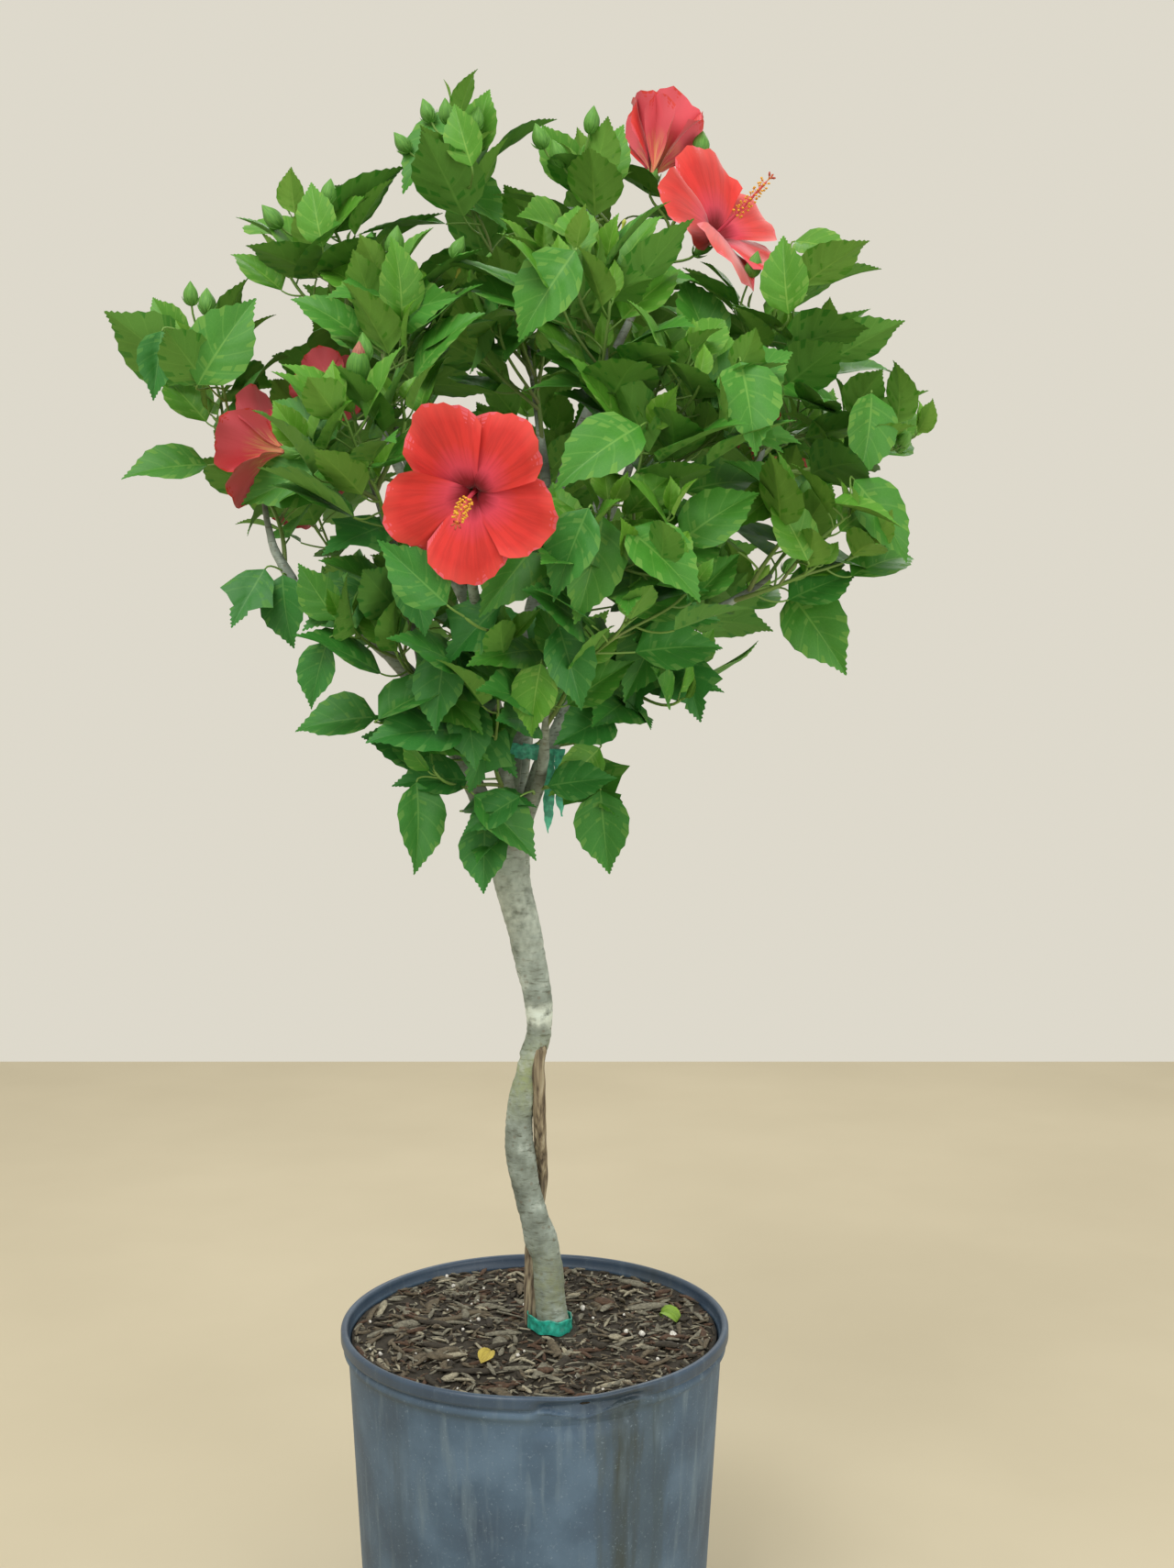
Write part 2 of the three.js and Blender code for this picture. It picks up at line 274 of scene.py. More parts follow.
def limbLine(name, count, cuts=12, sunk=0.014):
    # The middle and radius of a limb, read from level cuts through its frame solid. The foot is
    # carried on a little way into what the limb grows from.
    points, edges = nodeMesh(name)
    start, end = points[edges[:, 0]], points[edges[:, 1]]
    low, high = points[:, 2].min(), points[:, 2].max()
    tall = high - low
    rows = []
    for level in np.linspace(low + 0.1 * tall, high - 0.05 * tall, cuts):
        crossing = (start[:, 2] - level) * (end[:, 2] - level) < 0
        a, b = start[crossing], end[crossing]
        ring = a + (level - a[:, 2:]) / (b - a)[:, 2:] * (b - a)
        middle = (ring.min(0) + ring.max(0)) / 2
        least = np.linalg.eigvalsh(np.cov(ring[:, :2].T))[0]
        rows.append([middle[0], middle[1], level, math.sqrt(2 * least)])
    rows = np.array(rows)
    foot, tip = rows[0] - rows[1], rows[-1] - rows[-2]
    footSteps = (rows[0, 2] - low) / -foot[2]
    tipSteps = (high - rows[-1, 2]) / tip[2] * 0.8
    foot = rows[0] + foot * footSteps + np.append(unit(foot[:3]), 0) * sunk
    return smoothLine([foot, *rows, rows[-1] + tip * tipSteps], count)


# Camera, light and floor

view = {  # metres, degrees and the lens in mm
    "side": 0.048, "away": 1.481, "height": 0.856, "tipDown": 2.48, "lens": 37.47, "nearest": 0.05,
}
studio = {
    "surround": "#ede8da", "surroundPower": 0.86, "lampsAim": 0.8,
    "floor": "#c9bfa6", "floorClouds": "#c3b9a0", "floorSize": 5.0,
    "lamps": {  # place, power in watts and size of each soft lamp
        "keyLamp": ((-0.9, -1.7, 3.0), 50, 1.5),
        "fillLamp": ((1.9, -1.9, 1.1), 22, 1.6),
        "backLamp": ((0.6, 1.9, 2.8), 28, 1.6),
    },
}


def makeCamera():
    camera = bpy.data.objects.new("camera", bpy.data.cameras.new("camera"))
    camera.data.lens = view["lens"]
    camera.data.clip_start = view["nearest"]
    camera.location = (view["side"], -view["away"], view["height"])
    camera.rotation_euler = (math.radians(90 - view["tipDown"]), 0, 0)
    bpy.context.scene.collection.objects.link(camera)
    bpy.context.scene.camera = camera


def makeLight():
    world = bpy.data.worlds.new("surround")
    world.use_nodes = True
    sky = world.node_tree.nodes["Background"]
    sky.inputs["Color"].default_value = hexColour(studio["surround"])
    sky.inputs["Strength"].default_value = studio["surroundPower"]
    bpy.context.scene.world = world
    bpy.context.scene.view_settings.view_transform = "Standard"
    middle = Vector((0, 0, studio["lampsAim"]))
    for name, (place, power, size) in studio["lamps"].items():
        lamp = bpy.data.lights.new(name, "AREA")
        lamp.energy = power
        lamp.size = size
        lampObject = bpy.data.objects.new(name, lamp)
        lampObject.location = place
        lampObject.rotation_euler = (middle - Vector(place)).to_track_quat("-Z", "Y").to_euler()
        bpy.context.scene.collection.objects.link(lampObject)


def floatedConcrete():
    # Pale concrete, floated smooth: the eye sees faint clouds and no shine.
    material, tree, shader, place = newMaterial("floatedConcrete", 0.85)
    clouds = addNode(tree, "TexNoise", {"Vector": place, "Scale": perMetre(400), "Detail": 4.0})
    colours = addNode(tree, "ValToRGB", {"Fac": clouds},
                      [(0.3, studio["floorClouds"]), (0.7, studio["floor"])])
    fillSockets(tree, shader, {"Base Color": colours})
    return material


def makeFloor():
    size = studio["floorSize"] / 2
    mesh = bpy.data.meshes.new("floor")
    mesh.from_pydata([(-size, -size, 0), (size, -size, 0), (size, size, 0), (-size, size, 0)], [],
                     [(0, 1, 2, 3)])
    mesh.materials.append(floatedConcrete())
    floor = bpy.data.objects.new("floor", mesh)
    bpy.context.scene.collection.objects.link(floor)


makeCamera()
makeLight()
makeFloor()
print("camera, light and floor made")


# Pot

potSize = {  # millimetres; the rim's radius, the height and the foot come from the frame
    "rimHeight": 11, "rimRound": 3.2, "groove": 3, "grooveDepth": 4.6, "collarHeight": 7,
    "collarInset": 2.5, "plainBelow": 35, "wall": 3, "footRound": 3, "sides": 256,
    "bellyWave": 0.9, "sideWave": 0.6, "rimWave": 0.64, "waveFoot": 60, "rimWaveFoot": 240,
}
potDent = {  # millimetres, and degrees round from the front to the right
    "from": 0.0, "to": 38.0, "easeIn": 5, "easeOut": 9, "flatBelow": 8, "flatFrom": 255, "flatCurve": 1.25,
    "fold": 15.5, "foldDepth": 6.0, "foldLeft": 5, "foldRight": 3.5, "hollow": 4.5,
    "crease": 2.4, "creaseRound": 2.0, "creaseDrop": 9, "creaseSpan": 13, "rimDip": 2.6, "rimSpan": 9,
}
potStains = [  # radians round from the front to the right, half width, colour and strength
    (0.48, 0.17, "#343d38", 0.95), (0.68, 0.1, "#34403c", 0.6),
    (-0.75, 0.12, "#3c4a55", 0.45), (2.4, 0.25, "#3d453c", 0.7),
]
stainSway = 0.3  # how far round, in radians, a stain wanders


def cadTop(node):
    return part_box(node)[1][2]


def weatheredPolythene():
    # HDPE, injection moulded black-blue and chalked by years of sun: a dull grey-blue bloom with
    # fine pale speckle, runs of dirt and algae below the rim, and a smoother darker rim.
    material, tree, shader, place = newMaterial("weatheredPolythene", 0.55, ior=1.54)
    axes = addNode(tree, "SeparateXYZ", {"Vector": place})
    height = axes.outputs["Z"]
    tall = addNode(tree, "Mapping", {"Vector": place, "Scale": (1, 1, 0.12)})
    clouds = addNode(tree, "TexNoise", {"Vector": place, "Scale": perMetre(60), "Detail": 6.0})
    chalk = addNode(tree, "ValToRGB", {"Fac": clouds},
                    [(0.3, "#3a4e63"), (0.5, "#465e75"), (0.68, "#577088")])
    runs = addNode(tree, "TexNoise", {"Vector": tall, "Scale": perMetre(9), "Detail": 4.0})
    runMask = addNode(tree, "MapRange", {"Value": runs, "From": (0.54, 0.78), "To": (0.0, 0.7)})
    streaked = addNode(tree, "Mix", {"Factor": runMask, "A": chalk, "B": hexColour("#6b7f8d")})
    # Turn round the pot in radians, 0 at the front and growing to the right.
    back = addNode(tree, "Math", {0: axes.outputs["Y"], 1: -1.0}, operation="MULTIPLY")
    turn = addNode(tree, "Math", {0: axes.outputs["X"], 1: back}, operation="ARCTAN2")
    wobble = addNode(tree, "Math", {0: runs, 1: stainSway, 2: turn}, operation="MULTIPLY_ADD")
    stained = streaked
    for middle, width, colour, strength in potStains:
        near = addNode(tree, "Math", {0: wobble, 1: middle + stainSway / 2}, operation="SUBTRACT")
        near = addNode(tree, "Math", {0: near}, operation="ABSOLUTE")
        near = addNode(tree, "MapRange", {"Value": near, "From": (width, 0.0), "To": (0.0, strength)})
        mask = addNode(tree, "Math", {0: near, 1: clouds}, operation="MULTIPLY")
        mask = addNode(tree, "Math", {0: mask, 1: 1.7}, operation="MULTIPLY", use_clamp=True)
        stained = addNode(tree, "Mix", {"Factor": mask, "A": stained, "B": hexColour(colour)})
    specks = addNode(tree, "TexNoise", {"Vector": place, "Scale": perMetre(2.2), "Detail": 2.0})
    specks = addNode(tree, "MapRange", {"Value": specks, "From": (0.62, 0.78), "To": (0.0, 0.55)})
    speckled = addNode(tree, "Mix", {"Factor": specks, "A": stained, "B": hexColour("#8295a3")})
    rimFoot = cadTop("pot") - potSize["rimHeight"] * mm
    rim = addNode(tree, "MapRange", {"Value": height, "From": (rimFoot - 2 * mm, rimFoot + 2 * mm),
                                     "To": (0.0, 0.6)})
    finish = addNode(tree, "Mix", {"Factor": rim, "A": speckled, "B": hexColour("#223246")})
    rough = addNode(tree, "MapRange", {"Value": rim, "From": (0.0, 0.6), "To": (0.6, 0.42)})
    grain = addNode(tree, "TexNoise", {"Vector": place, "Scale": perMetre(1.6), "Detail": 3.0})
    bump = addNode(tree, "Bump", {"Height": grain, "Strength": 0.12, "Distance": 0.4 * mm})
    fillSockets(tree, shader, {"Base Color": finish, "Roughness": rough, "Normal": bump})
    return material


def arc(centre, radius, first, last, count):
    # Points of a round corner, by angle in degrees.
    angles = np.radians(np.linspace(first, last, count))
    return [(centre[0] + radius * math.cos(a), centre[1] + radius * math.sin(a)) for a in angles]


def potProfile():
    # Radius and height in millimetres, from under the middle, up the outside and down the inside.
    size = potSize
    points, edges = nodeMesh("pot")
    radii = np.hypot(points[:, 0], points[:, 1]) / mm
    heights = points[:, 2] / mm
    rim, top = radii.max(), heights.max()
    foot = radii[heights < size["footRound"] * 1.5].max()
    collarTop = top - size["rimHeight"] - size["groove"]
    collarFoot = collarTop - size["collarHeight"]
    collar = rim - size["collarInset"]
    groove = rim - size["grooveDepth"]
    lip = rim - 2 * size["rimRound"]
    plain = top - size["plainBelow"]
    wallTop = radii[(heights > plain - 7) & (heights < plain)].max()
    inset = size["wall"]
    bead = size["rimRound"]
    footRound = size["footRound"]
    outside = [(r, 0) for r in np.linspace(1, foot - footRound, 10)]
    outside += arc((foot - footRound, footRound), footRound, -80, 0, 5)
    wall = np.linspace(0.03, 1, 34)
    outside += [(foot + (wallTop - foot) * s, footRound + (collarFoot - 6 - footRound) * s) for s in wall]
    outside += [(wallTop + 0.4, collarFoot - 3), (wallTop + 1.6, collarFoot - 1)]
    outside += [(collar, collarFoot + 1.5)]
    outside += [(collar, z) for z in np.linspace(collarFoot + 3.5, collarTop - 2.5, 6)]
    outside += [(collar - 0.6, collarTop - 0.6), (groove, collarTop + 0.8)]
    outside += [(groove, collarTop + 2), (rim - 1.0, collarTop + 3.0)]
    outside += [(rim, z) for z in np.linspace(collarTop + 4.4, top - bead, 5)]
    outside += arc((rim - bead, top - bead), bead, 15, 160, 9)
    inside = [(lip - 0.2, top - bead - 1), (lip - 0.3, top - 8), (lip - 1.6, top - 10)]
    inside += [(lip - 2.6, top - 12), (lip - 1.2, top - 14.5), (lip - 0.4, top - 17)]
    inside += [(collar - inset - 1, collarFoot + 2), (wallTop - inset, collarFoot - 3)]
    inside += [(wallTop - inset + (foot - wallTop) * s, collarFoot - 3 - (collarFoot - 9) * s)
               for s in np.linspace(0.08, 1, 12)]
    inside += [(foot - inset - 4, 4.5), (foot - inset - 12, 4), (80, 4), (1, 4)]
    return np.array(outside + inside), collarFoot, collarTop, top


def dentPot(radius, height, degrees, profile, collarFoot, top):
    # A knock to the front of the rim has pressed groove and collar flat and left one sharp fold.
    dent = potDent
    inDent = smoothStep(degrees, dent["from"], dent["from"] + dent["easeIn"])
    inDent = inDent * (1 - smoothStep(degrees, dent["to"] - dent["easeOut"], dent["to"]))
    outer = (np.arange(len(profile)) < np.argmax(profile[:, 1]) - 2)[:, None]
    flatFoot = collarFoot - dent["flatBelow"]
    wallRadius = profile[np.argmin(np.abs(profile[:, 1] - dent["flatFrom"])), 0]
    share = np.clip((height - flatFoot) / (top - 4 - flatFoot), 0, 1)
    flat = wallRadius + (profile[:, 0].max() - 1.0 - wallRadius) * share ** dent["flatCurve"]
    pressed = inDent * outer * smoothStep(height, flatFoot - 2, flatFoot + 1)
    radius = radius + (flat - radius) * pressed * (height < top - 3)
    # The fold runs down to a raised crease that dips below it, and the flat is hollow above that.
    past = degrees - dent["fold"]
    dropped = dent["creaseDrop"] * np.clip(1 - np.abs(past) / dent["creaseSpan"], 0, 1)
    crease = collarFoot + potSize["collarHeight"] + 1 - dropped
    fold = np.where(past < 0, -0.7 * np.exp(past / dent["foldLeft"]), -np.exp(-past / dent["foldRight"]))
    reach = smoothStep(height, crease - 2, crease + 5) * (1 - 0.5 * smoothStep(height, top - 8, top))
    radius = radius + dent["foldDepth"] * fold * reach * inDent
    inHollow = smoothStep(height, crease, crease + 3) * (1 - smoothStep(height, top - 9, top - 4))
    radius = radius - dent["hollow"] * inHollow * inDent * outer
    ridge = np.exp(-((height - crease) / dent["creaseRound"]) ** 2)
    radius = radius + dent["crease"] * ridge * inDent * outer
    return radius, dent["rimDip"] * inDent * np.exp(-(past / dent["rimSpan"]) ** 2)


def makePot():
    size = potSize
    profile, collarFoot, collarTop, top = potProfile()
    turn = np.linspace(-math.pi, math.pi, size["sides"], endpoint=False)
    radius, height = np.meshgrid(profile[:, 0], turn, indexing="ij")[0], profile[:, 1][:, None]
    radius, dip = dentPot(radius, height, np.degrees(turn)[None, :], profile, collarFoot, top)
    # The thin wall and rim aren't quite round or level.
    wide = size["bellyWave"] * np.sin(2 * turn + 0.6) + size["sideWave"] * np.sin(3 * turn + 2.0)
    radius = radius + wide * smoothStep(height, size["waveFoot"], top) * (radius > 40)
    lift = size["rimWave"] * np.sin(2 * turn + 1.9) * smoothStep(height, size["rimWaveFoot"], top)
    heights = height + lift - dip * smoothStep(height, collarTop, top)
    grid = np.stack([radius * np.sin(turn), -radius * np.cos(turn), heights + 0 * radius], 2) * mm
    batch = Batch()
    batch.addGrid(grid, wrap=True)
    piece = batch.makePiece("pot_shell", weatheredPolythene(), "pot_plastic")
    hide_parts("pot")


makePot()
print("pot made")


# Growing mix and mulch

mulchBed = {  # millimetres
    "edgeGap": 11, "chipGap": 14, "trunkGap": 24, "banked": 6, "roughness": 2.2, "under": 20,
    "chips": 2300, "perlite": 40, "seed": 11, "bed": "#3a342a", "largeThick": 3.5,
    "colours": {"mulchDark": "#3d372d", "mulchRed": "#5c4636", "mulchBrown": "#6c6250",
                "mulchGrey": "#868272", "mulchStraw": "#ada68f"},
    "shares": (0.24, 0.14, 0.30, 0.24, 0.08),
    "large": [  # colour, millimetres to the right and to the back of the middle, length, width, turn
        ("mulchDark", -50, -104, 62, 11, 4), ("mulchRed", 12, -101, 15, 12, 10),
        ("mulchStraw", -68, -116, 24, 8, 60), ("mulchStraw", -56, -122, 20, 8, -20),
        ("mulchGrey", -30, -42, 24, 14, 80), ("mulchStraw", 74, -30, 13, 12, 30),
        ("mulchBrown", 30, -60, 44, 8, -6), ("mulchStraw", -70, -70, 26, 7, 15),
        ("mulchRed", 64, 62, 20, 16, -35), ("mulchGrey", 106, 52, 40, 12, 8),
    ],
    "bright": [(126, -22, 4.6), (98, -20, 2.6), (84, -14, 2.4), (44, 44, 2.6)],  # perlite
}
soilMesh = nodeMesh("soil")


def shreddedBark(name, colour):
    # Shredded bark and wood, rained on and dried: matt, with fibres along each chip and grey ends.
    material, tree, shader, place = newMaterial(name, 0.9)
    fibres = addNode(tree, "TexNoise", {"Vector": place, "Scale": perMetre(3), "Detail": 6.0,
                                        "Roughness": 0.7})
    light = hexColour(colour)
    shade = addNode(tree, "MapRange", {"Value": fibres, "From": (0.38, 0.62)})
    mixed = addNode(tree, "Mix", {"Factor": shade, "A": shaded(light, 0.45), "B": light})
    bump = addNode(tree, "Bump", {"Height": fibres, "Strength": 0.5, "Distance": 0.8 * mm})
    fillSockets(tree, shader, {"Base Color": mixed, "Normal": bump})
    return material


def volcanicPerlite():
    # Perlite, popped in a furnace: chalk white crumbs, slightly grey in their pores.
    material, tree, shader, place = newMaterial("volcanicPerlite", 0.95)
    pores = addNode(tree, "TexNoise", {"Vector": place, "Scale": perMetre(1.2), "Detail": 3.0})
    white = addNode(tree, "ValToRGB", {"Fac": pores}, [(0.35, "#b9b6ac"), (0.6, "#f1efe8")])
    fillSockets(tree, shader, {"Base Color": white})
    return material


def mulchHeight(x, y):
    # Top of the mulch in metres: banked up at the wall, mounded towards the trunk, and uneven.
    low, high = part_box("soil")
    points, edges = soilMesh
    edge = points[np.hypot(points[:, 0], points[:, 1]) > high[0] * 0.97][:, 2].max()
    edge = edge + mulchBed["banked"] * mm
    mound = smoothStep(np.hypot(x, y), high[0] * 0.95, high[0] * 0.35)
    place = np.stack([x, y, 0 * x], -1)
    rough = noiseAt(place, 0.03, 3) + 0.5 * noiseAt(place, 0.011, 4)
    return edge + (high[2] - edge) * mound + mulchBed["roughness"] * mm * rough


def onMulch(x, y, above):
    # A place this many millimetres above the mulch, by millimetres to the right and to the back.
    return np.array([x * mm, y * mm, mulchHeight(x * mm, y * mm) + above * mm])


def makeMulchBed():
    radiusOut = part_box("pot")[1][0] - mulchBed["edgeGap"] * mm
    top = np.linspace(0.004, 1, 46) ** 0.8
    turn = np.linspace(0, 2 * math.pi, 120, endpoint=False)
    radius, angle = np.meshgrid(top * radiusOut, turn, indexing="ij")
    x, y = radius * np.cos(angle), radius * np.sin(angle)
    surface = np.stack([x, y, mulchHeight(x, y)], 2)
    under = surface[::-1] * (0.96, 0.96, 1)
    under[:, :, 2] = surface[:, :, 2].min() - mulchBed["under"] * mm
    batch = Batch()
    batch.addGrid(np.concatenate([surface, under]), wrap=True, flip=True)
    piece = batch.makePiece("mulch_bed", shreddedBark("rottedMulch", mulchBed["bed"]), "mulch")
    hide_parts("soil")


def chipGrid(rng, length, width, thick):
    # One torn splinter: flat, slightly bent, with ragged ends, lying along X.
    rows, sides = 6, 6
    along = np.array([-0.5, -0.47, -0.15, 0.18, 0.46, 0.5])
    line = np.stack([along * length, np.zeros(rows), np.zeros(rows)], 1)
    line[:, 2] += rng.uniform(-0.06, 0.06) * length * (1 - (2 * along) ** 2)
    line[:, 1] += rng.uniform(-0.08, 0.08) * length * (2 * along) ** 2
    turn = np.linspace(0, 2 * math.pi, sides, endpoint=False) + 0.3
    ragged = 1 + 0.28 * np.array([[rng.uniform(-1, 1) for _ in turn] for _ in along])
    size = np.array([0.05, 0.62, 1.0, 0.95, 0.5, 0.05])[:, None] * ragged
    grid = np.repeat(line[:, None], sides, 1)
    grid[:, :, 1] += size * np.cos(turn) * width / 2
    grid[:, :, 2] += size * np.sin(turn) * thick / 2
    grid[:, :, 0] += 0.08 * length * (ragged - 1) * np.sign(along)[:, None]
    return grid


def turned(grid, yaw, pitch, roll):
    # Turned about X, then Y, then Z.
    for axis, angle in ((0, roll), (1, pitch), (2, yaw)):
        one, two = [k for k in range(3) if k != axis]
        c, s = math.cos(angle), math.sin(angle)
        grid = grid.copy()
        grid[..., one], grid[..., two] = (grid[..., one] * c - grid[..., two] * s,
                                          grid[..., one] * s + grid[..., two] * c)
    return grid


def placeChips(rng, reach):
    # Place, length, width and thickness of each seeded chip: even over the bed, clear of the trunk.
    trunkFoot = limbLine("trunk", 20)[2]
    spots = []
    for number in range(mulchBed["chips"]):
        distance = reach * math.sqrt(rng.uniform(0, 1))
        angle = rng.uniform(0, 2 * math.pi)
        x, y = distance * math.cos(angle), distance * math.sin(angle)
        if math.hypot(x - trunkFoot[0], y - trunkFoot[1]) < mulchBed["trunkGap"] * mm:
            continue
        kind = rng.random()
        length = rng.uniform(5, 11) if kind < 0.6 else rng.uniform(11, 20)
        length = rng.uniform(22, 38) if kind > 0.95 else length
        width = length * rng.uniform(0.14, 0.36)
        spots.append((x, y, length, width, rng.uniform(0.2, 0.5) * width + 0.6))
    return spots


def makeChips(rng, reach):
    names = list(mulchBed["colours"])
    batches = {name: Batch() for name in names}
    spots = placeChips(rng, reach)
    floor = mulchHeight(np.array([s[0] for s in spots]), np.array([s[1] for s in spots]))
    for (x, y, length, width, thick), height in zip(spots, floor):
        size = np.array([length, width, thick]) * mm
        yaw = rng.uniform(0, 2 * math.pi)
        # Near the wall a chip lies along it, so that none pokes through.
        if math.hypot(x, y) + length * mm / 2 > reach + 4 * mm:
            yaw = math.atan2(y, x) + math.pi / 2 + rng.uniform(-0.2, 0.2)
        grid = turned(chipGrid(rng, *size), yaw, rng.gauss(0, 0.13), rng.gauss(0, 0.3))
        grid = grid + np.array([x, y, height + rng.uniform(0.2, 2.6) * mm])
        name = rng.choices(names, mulchBed["shares"])[0]
        batches[name].addGrid(grid, wrap=True)
    for name, x, y, length, width, degrees in mulchBed["large"]:
        grid = chipGrid(rng, length * mm, width * mm, mulchBed["largeThick"] * mm)
        grid = turned(grid, math.radians(degrees), rng.gauss(0, 0.08), rng.gauss(0, 0.2))
        batches[name].addGrid(grid + onMulch(x, y, 3), wrap=True)
    for name in names:
        batches[name].makePiece("chips_" + name[5:].lower(),
                                shreddedBark(name, mulchBed["colours"][name]), "mulch")


def crumb(rng, size):
    # A small uneven ball.
    tilt = np.linspace(0.12, math.pi - 0.12, 5)[:, None]
    turn = np.linspace(0, 2 * math.pi, 6, endpoint=False)[None, :]
    radius = size * (1 + 0.25 * np.array([[rng.uniform(-1, 1) for _ in range(6)] for _ in range(5)]))
    return np.stack([radius * np.sin(tilt) * np.cos(turn), radius * np.sin(tilt) * np.sin(turn),
                     -radius * np.cos(tilt) + 0 * turn], 2)


def makePerlite(rng, reach):
    crumbs = Batch()
    for number in range(mulchBed["perlite"]):
        distance, angle = reach * math.sqrt(rng.random()), rng.uniform(0, 2 * math.pi)
        x, y = distance * math.cos(angle), distance * math.sin(angle)
        size = rng.uniform(0.9, 2.1) * mm
        height = mulchHeight(x, y) + rng.uniform(1, 3) * mm
        crumbs.addGrid(crumb(rng, size) + np.array([x, y, height]), wrap=True)
    for x, y, size in mulchBed["bright"]:
        crumbs.addGrid(crumb(rng, size * mm) + onMulch(x, y, 3), wrap=True)
    crumbs.makePiece("perlite", volcanicPerlite(), "mulch")


def makeMulch():
    rng = random.Random(mulchBed["seed"])
    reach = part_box("pot")[1][0] - mulchBed["chipGap"] * mm
    makeMulchBed()
    makeChips(rng, reach)
    makePerlite(rng, reach)


makeMulch()
print("mulch made")


# Trunk, boughs and dead stem

barkSize = {  # millimetres, or a share of the limb's radius
    "trunkSides": 64, "trunkRings": 380, "boughSides": 20, "boughRings": 110, "deadSides": 40,
    "deadRings": 240, "flare": -0.15, "flareHeight": 16, "footShift": 5, "footThin": 0.06, "footTall": 80,
    "lump": 1.5, "flute": 0.6, "wrinkle": 0.5, "collar": 0.38, "collarLength": 18, "tipRadius": 2.3,
    "seam": (400, 455, 530, 560), "lean": 4.0, "splinter": 9, "splinterFrom": 14,
    "stub": 15, "stubFoot": 6.5, "stubEnd": 4.2, "stubRings": 18, "stubSides": 20,
}
trunkKnots = [  # height and size in mm, degrees round from the front to the right, swelling in mm
    (727, 15, -62, 5.0), (705, 10, -25, 1.6), (655, 12, 45, 2.2), (620, 9, -70, 1.8), (586, 13, 8, 2.0),
    (540, 10, -85, 2.4), (497, 9, 70, 1.6), (452, 12, -35, 1.8), (405, 10, 60, 2.0), (368, 11, -50, 1.6),
    (560, 12, 160, 2.2), (430, 12, 190, 2.0), (640, 14, 200, 2.4), (340, 12, 120, 1.8),
]
barkBands = [  # height and half reach in metres, colour and strength
    (0.525, 0.045, "#8f9a6c", 1.0),  # lichen
    (0.582, 0.014, "#cdd7cc", 2.1),  # skin rubbed pale
    (0.675, 0.07, "#bec8be", 1.0),  # paler young skin
    (0.745, 0.02, "#94857a", 0.8),  # a healed pinkish scar
    (0.33, 0.05, "#7f8565", 0.9),  # algae at the foot
]


def thinGreyBark():
    # Hibiscus bark, grown smooth and thin: grey-green skin with pale patches, fine dark wrinkles
    # across it, small corky warts, and bands of lichen, algae, rubbed skin and scar up the trunk.
    material, tree, shader, place = newMaterial("thinGreyBark", 0.82)
    height = addNode(tree, "SeparateXYZ", {"Vector": place}).outputs["Z"]
    patches = addNode(tree, "TexNoise", {"Vector": place, "Scale": perMetre(34), "Detail": 5.0,
                                         "Roughness": 0.6})
    skin = addNode(tree, "ValToRGB", {"Fac": patches},
                   [(0.32, "#5f675f"), (0.45, "#7c857b"), (0.56, "#929d94"), (0.66, "#b6c0b7")])
    squashed = addNode(tree, "Mapping", {"Vector": place, "Scale": (1, 1, 4)})
    lines = addNode(tree, "TexNoise", {"Vector": squashed, "Scale": perMetre(9), "Detail": 4.0})
    lineMask = addNode(tree, "MapRange", {"Value": lines, "From": (0.55, 0.7), "To": (0.0, 0.75)})
    lined = addNode(tree, "Mix", {"Factor": lineMask, "A": skin, "B": hexColour("#4d4f40")})
    warts = addNode(tree, "TexVoronoi", {"Vector": place, "Scale": perMetre(8)})
    wartMask = addNode(tree, "MapRange", {"Value": warts.outputs["Distance"], "From": (0.24, 0.12),
                                          "To": (0.0, 0.5)})
    warted = addNode(tree, "Mix", {"Factor": wartMask, "A": lined, "B": hexColour("#6b6250")})
    film = addNode(tree, "TexNoise", {"Vector": place, "Scale": perMetre(7), "Detail": 3.0})
    film = addNode(tree, "MapRange", {"Value": film, "From": (0.26, 0.72), "To": (0.0, 1.1)})
    finish = warted
    for middle, reach, colour, strength in barkBands:
        away = addNode(tree, "Math", {0: height, 1: middle}, operation="SUBTRACT")
        away = addNode(tree, "Math", {0: away}, operation="ABSOLUTE")
        near = addNode(tree, "MapRange", {"Value": away, "From": (reach, 0.0), "To": (0.0, strength)})
        mask = addNode(tree, "Math", {0: near, 1: film}, operation="MULTIPLY", use_clamp=True)
        finish = addNode(tree, "Mix", {"Factor": mask, "A": finish, "B": hexColour(colour)})
    grain = addNode(tree, "TexNoise", {"Vector": squashed, "Scale": perMetre(4), "Detail": 5.0})
    bump = addNode(tree, "Bump", {"Height": grain, "Strength": 0.45, "Distance": 0.9 * mm})
    fillSockets(tree, shader, {"Base Color": finish, "Normal": bump})
    return material


def silveredWood():
    # A dead stem, its bark gone and weathered: dry grey-brown fibres with dark seams.
    material, tree, shader, place = newMaterial("silveredWood", 0.9)
    drawn = addNode(tree, "Mapping", {"Vector": place, "Scale": (1, 1, 0.06)})
    fibres = addNode(tree, "TexNoise", {"Vector": drawn, "Scale": perMetre(3.2), "Detail": 5.0})
    colours = addNode(tree, "ValToRGB", {"Fac": fibres},
                      [(0.34, "#443a31"), (0.48, "#796d59"), (0.6, "#978b72"), (0.72, "#aea58d")])
    bump = addNode(tree, "Bump", {"Height": fibres, "Strength": 0.6, "Distance": 0.8 * mm})
    fillSockets(tree, shader, {"Base Color": colours, "Normal": bump})
    return material


def limbRun(line):
    return np.concatenate([[0], np.cumsum(np.linalg.norm(np.diff(line[:, :3], axis=0), axis=1))])


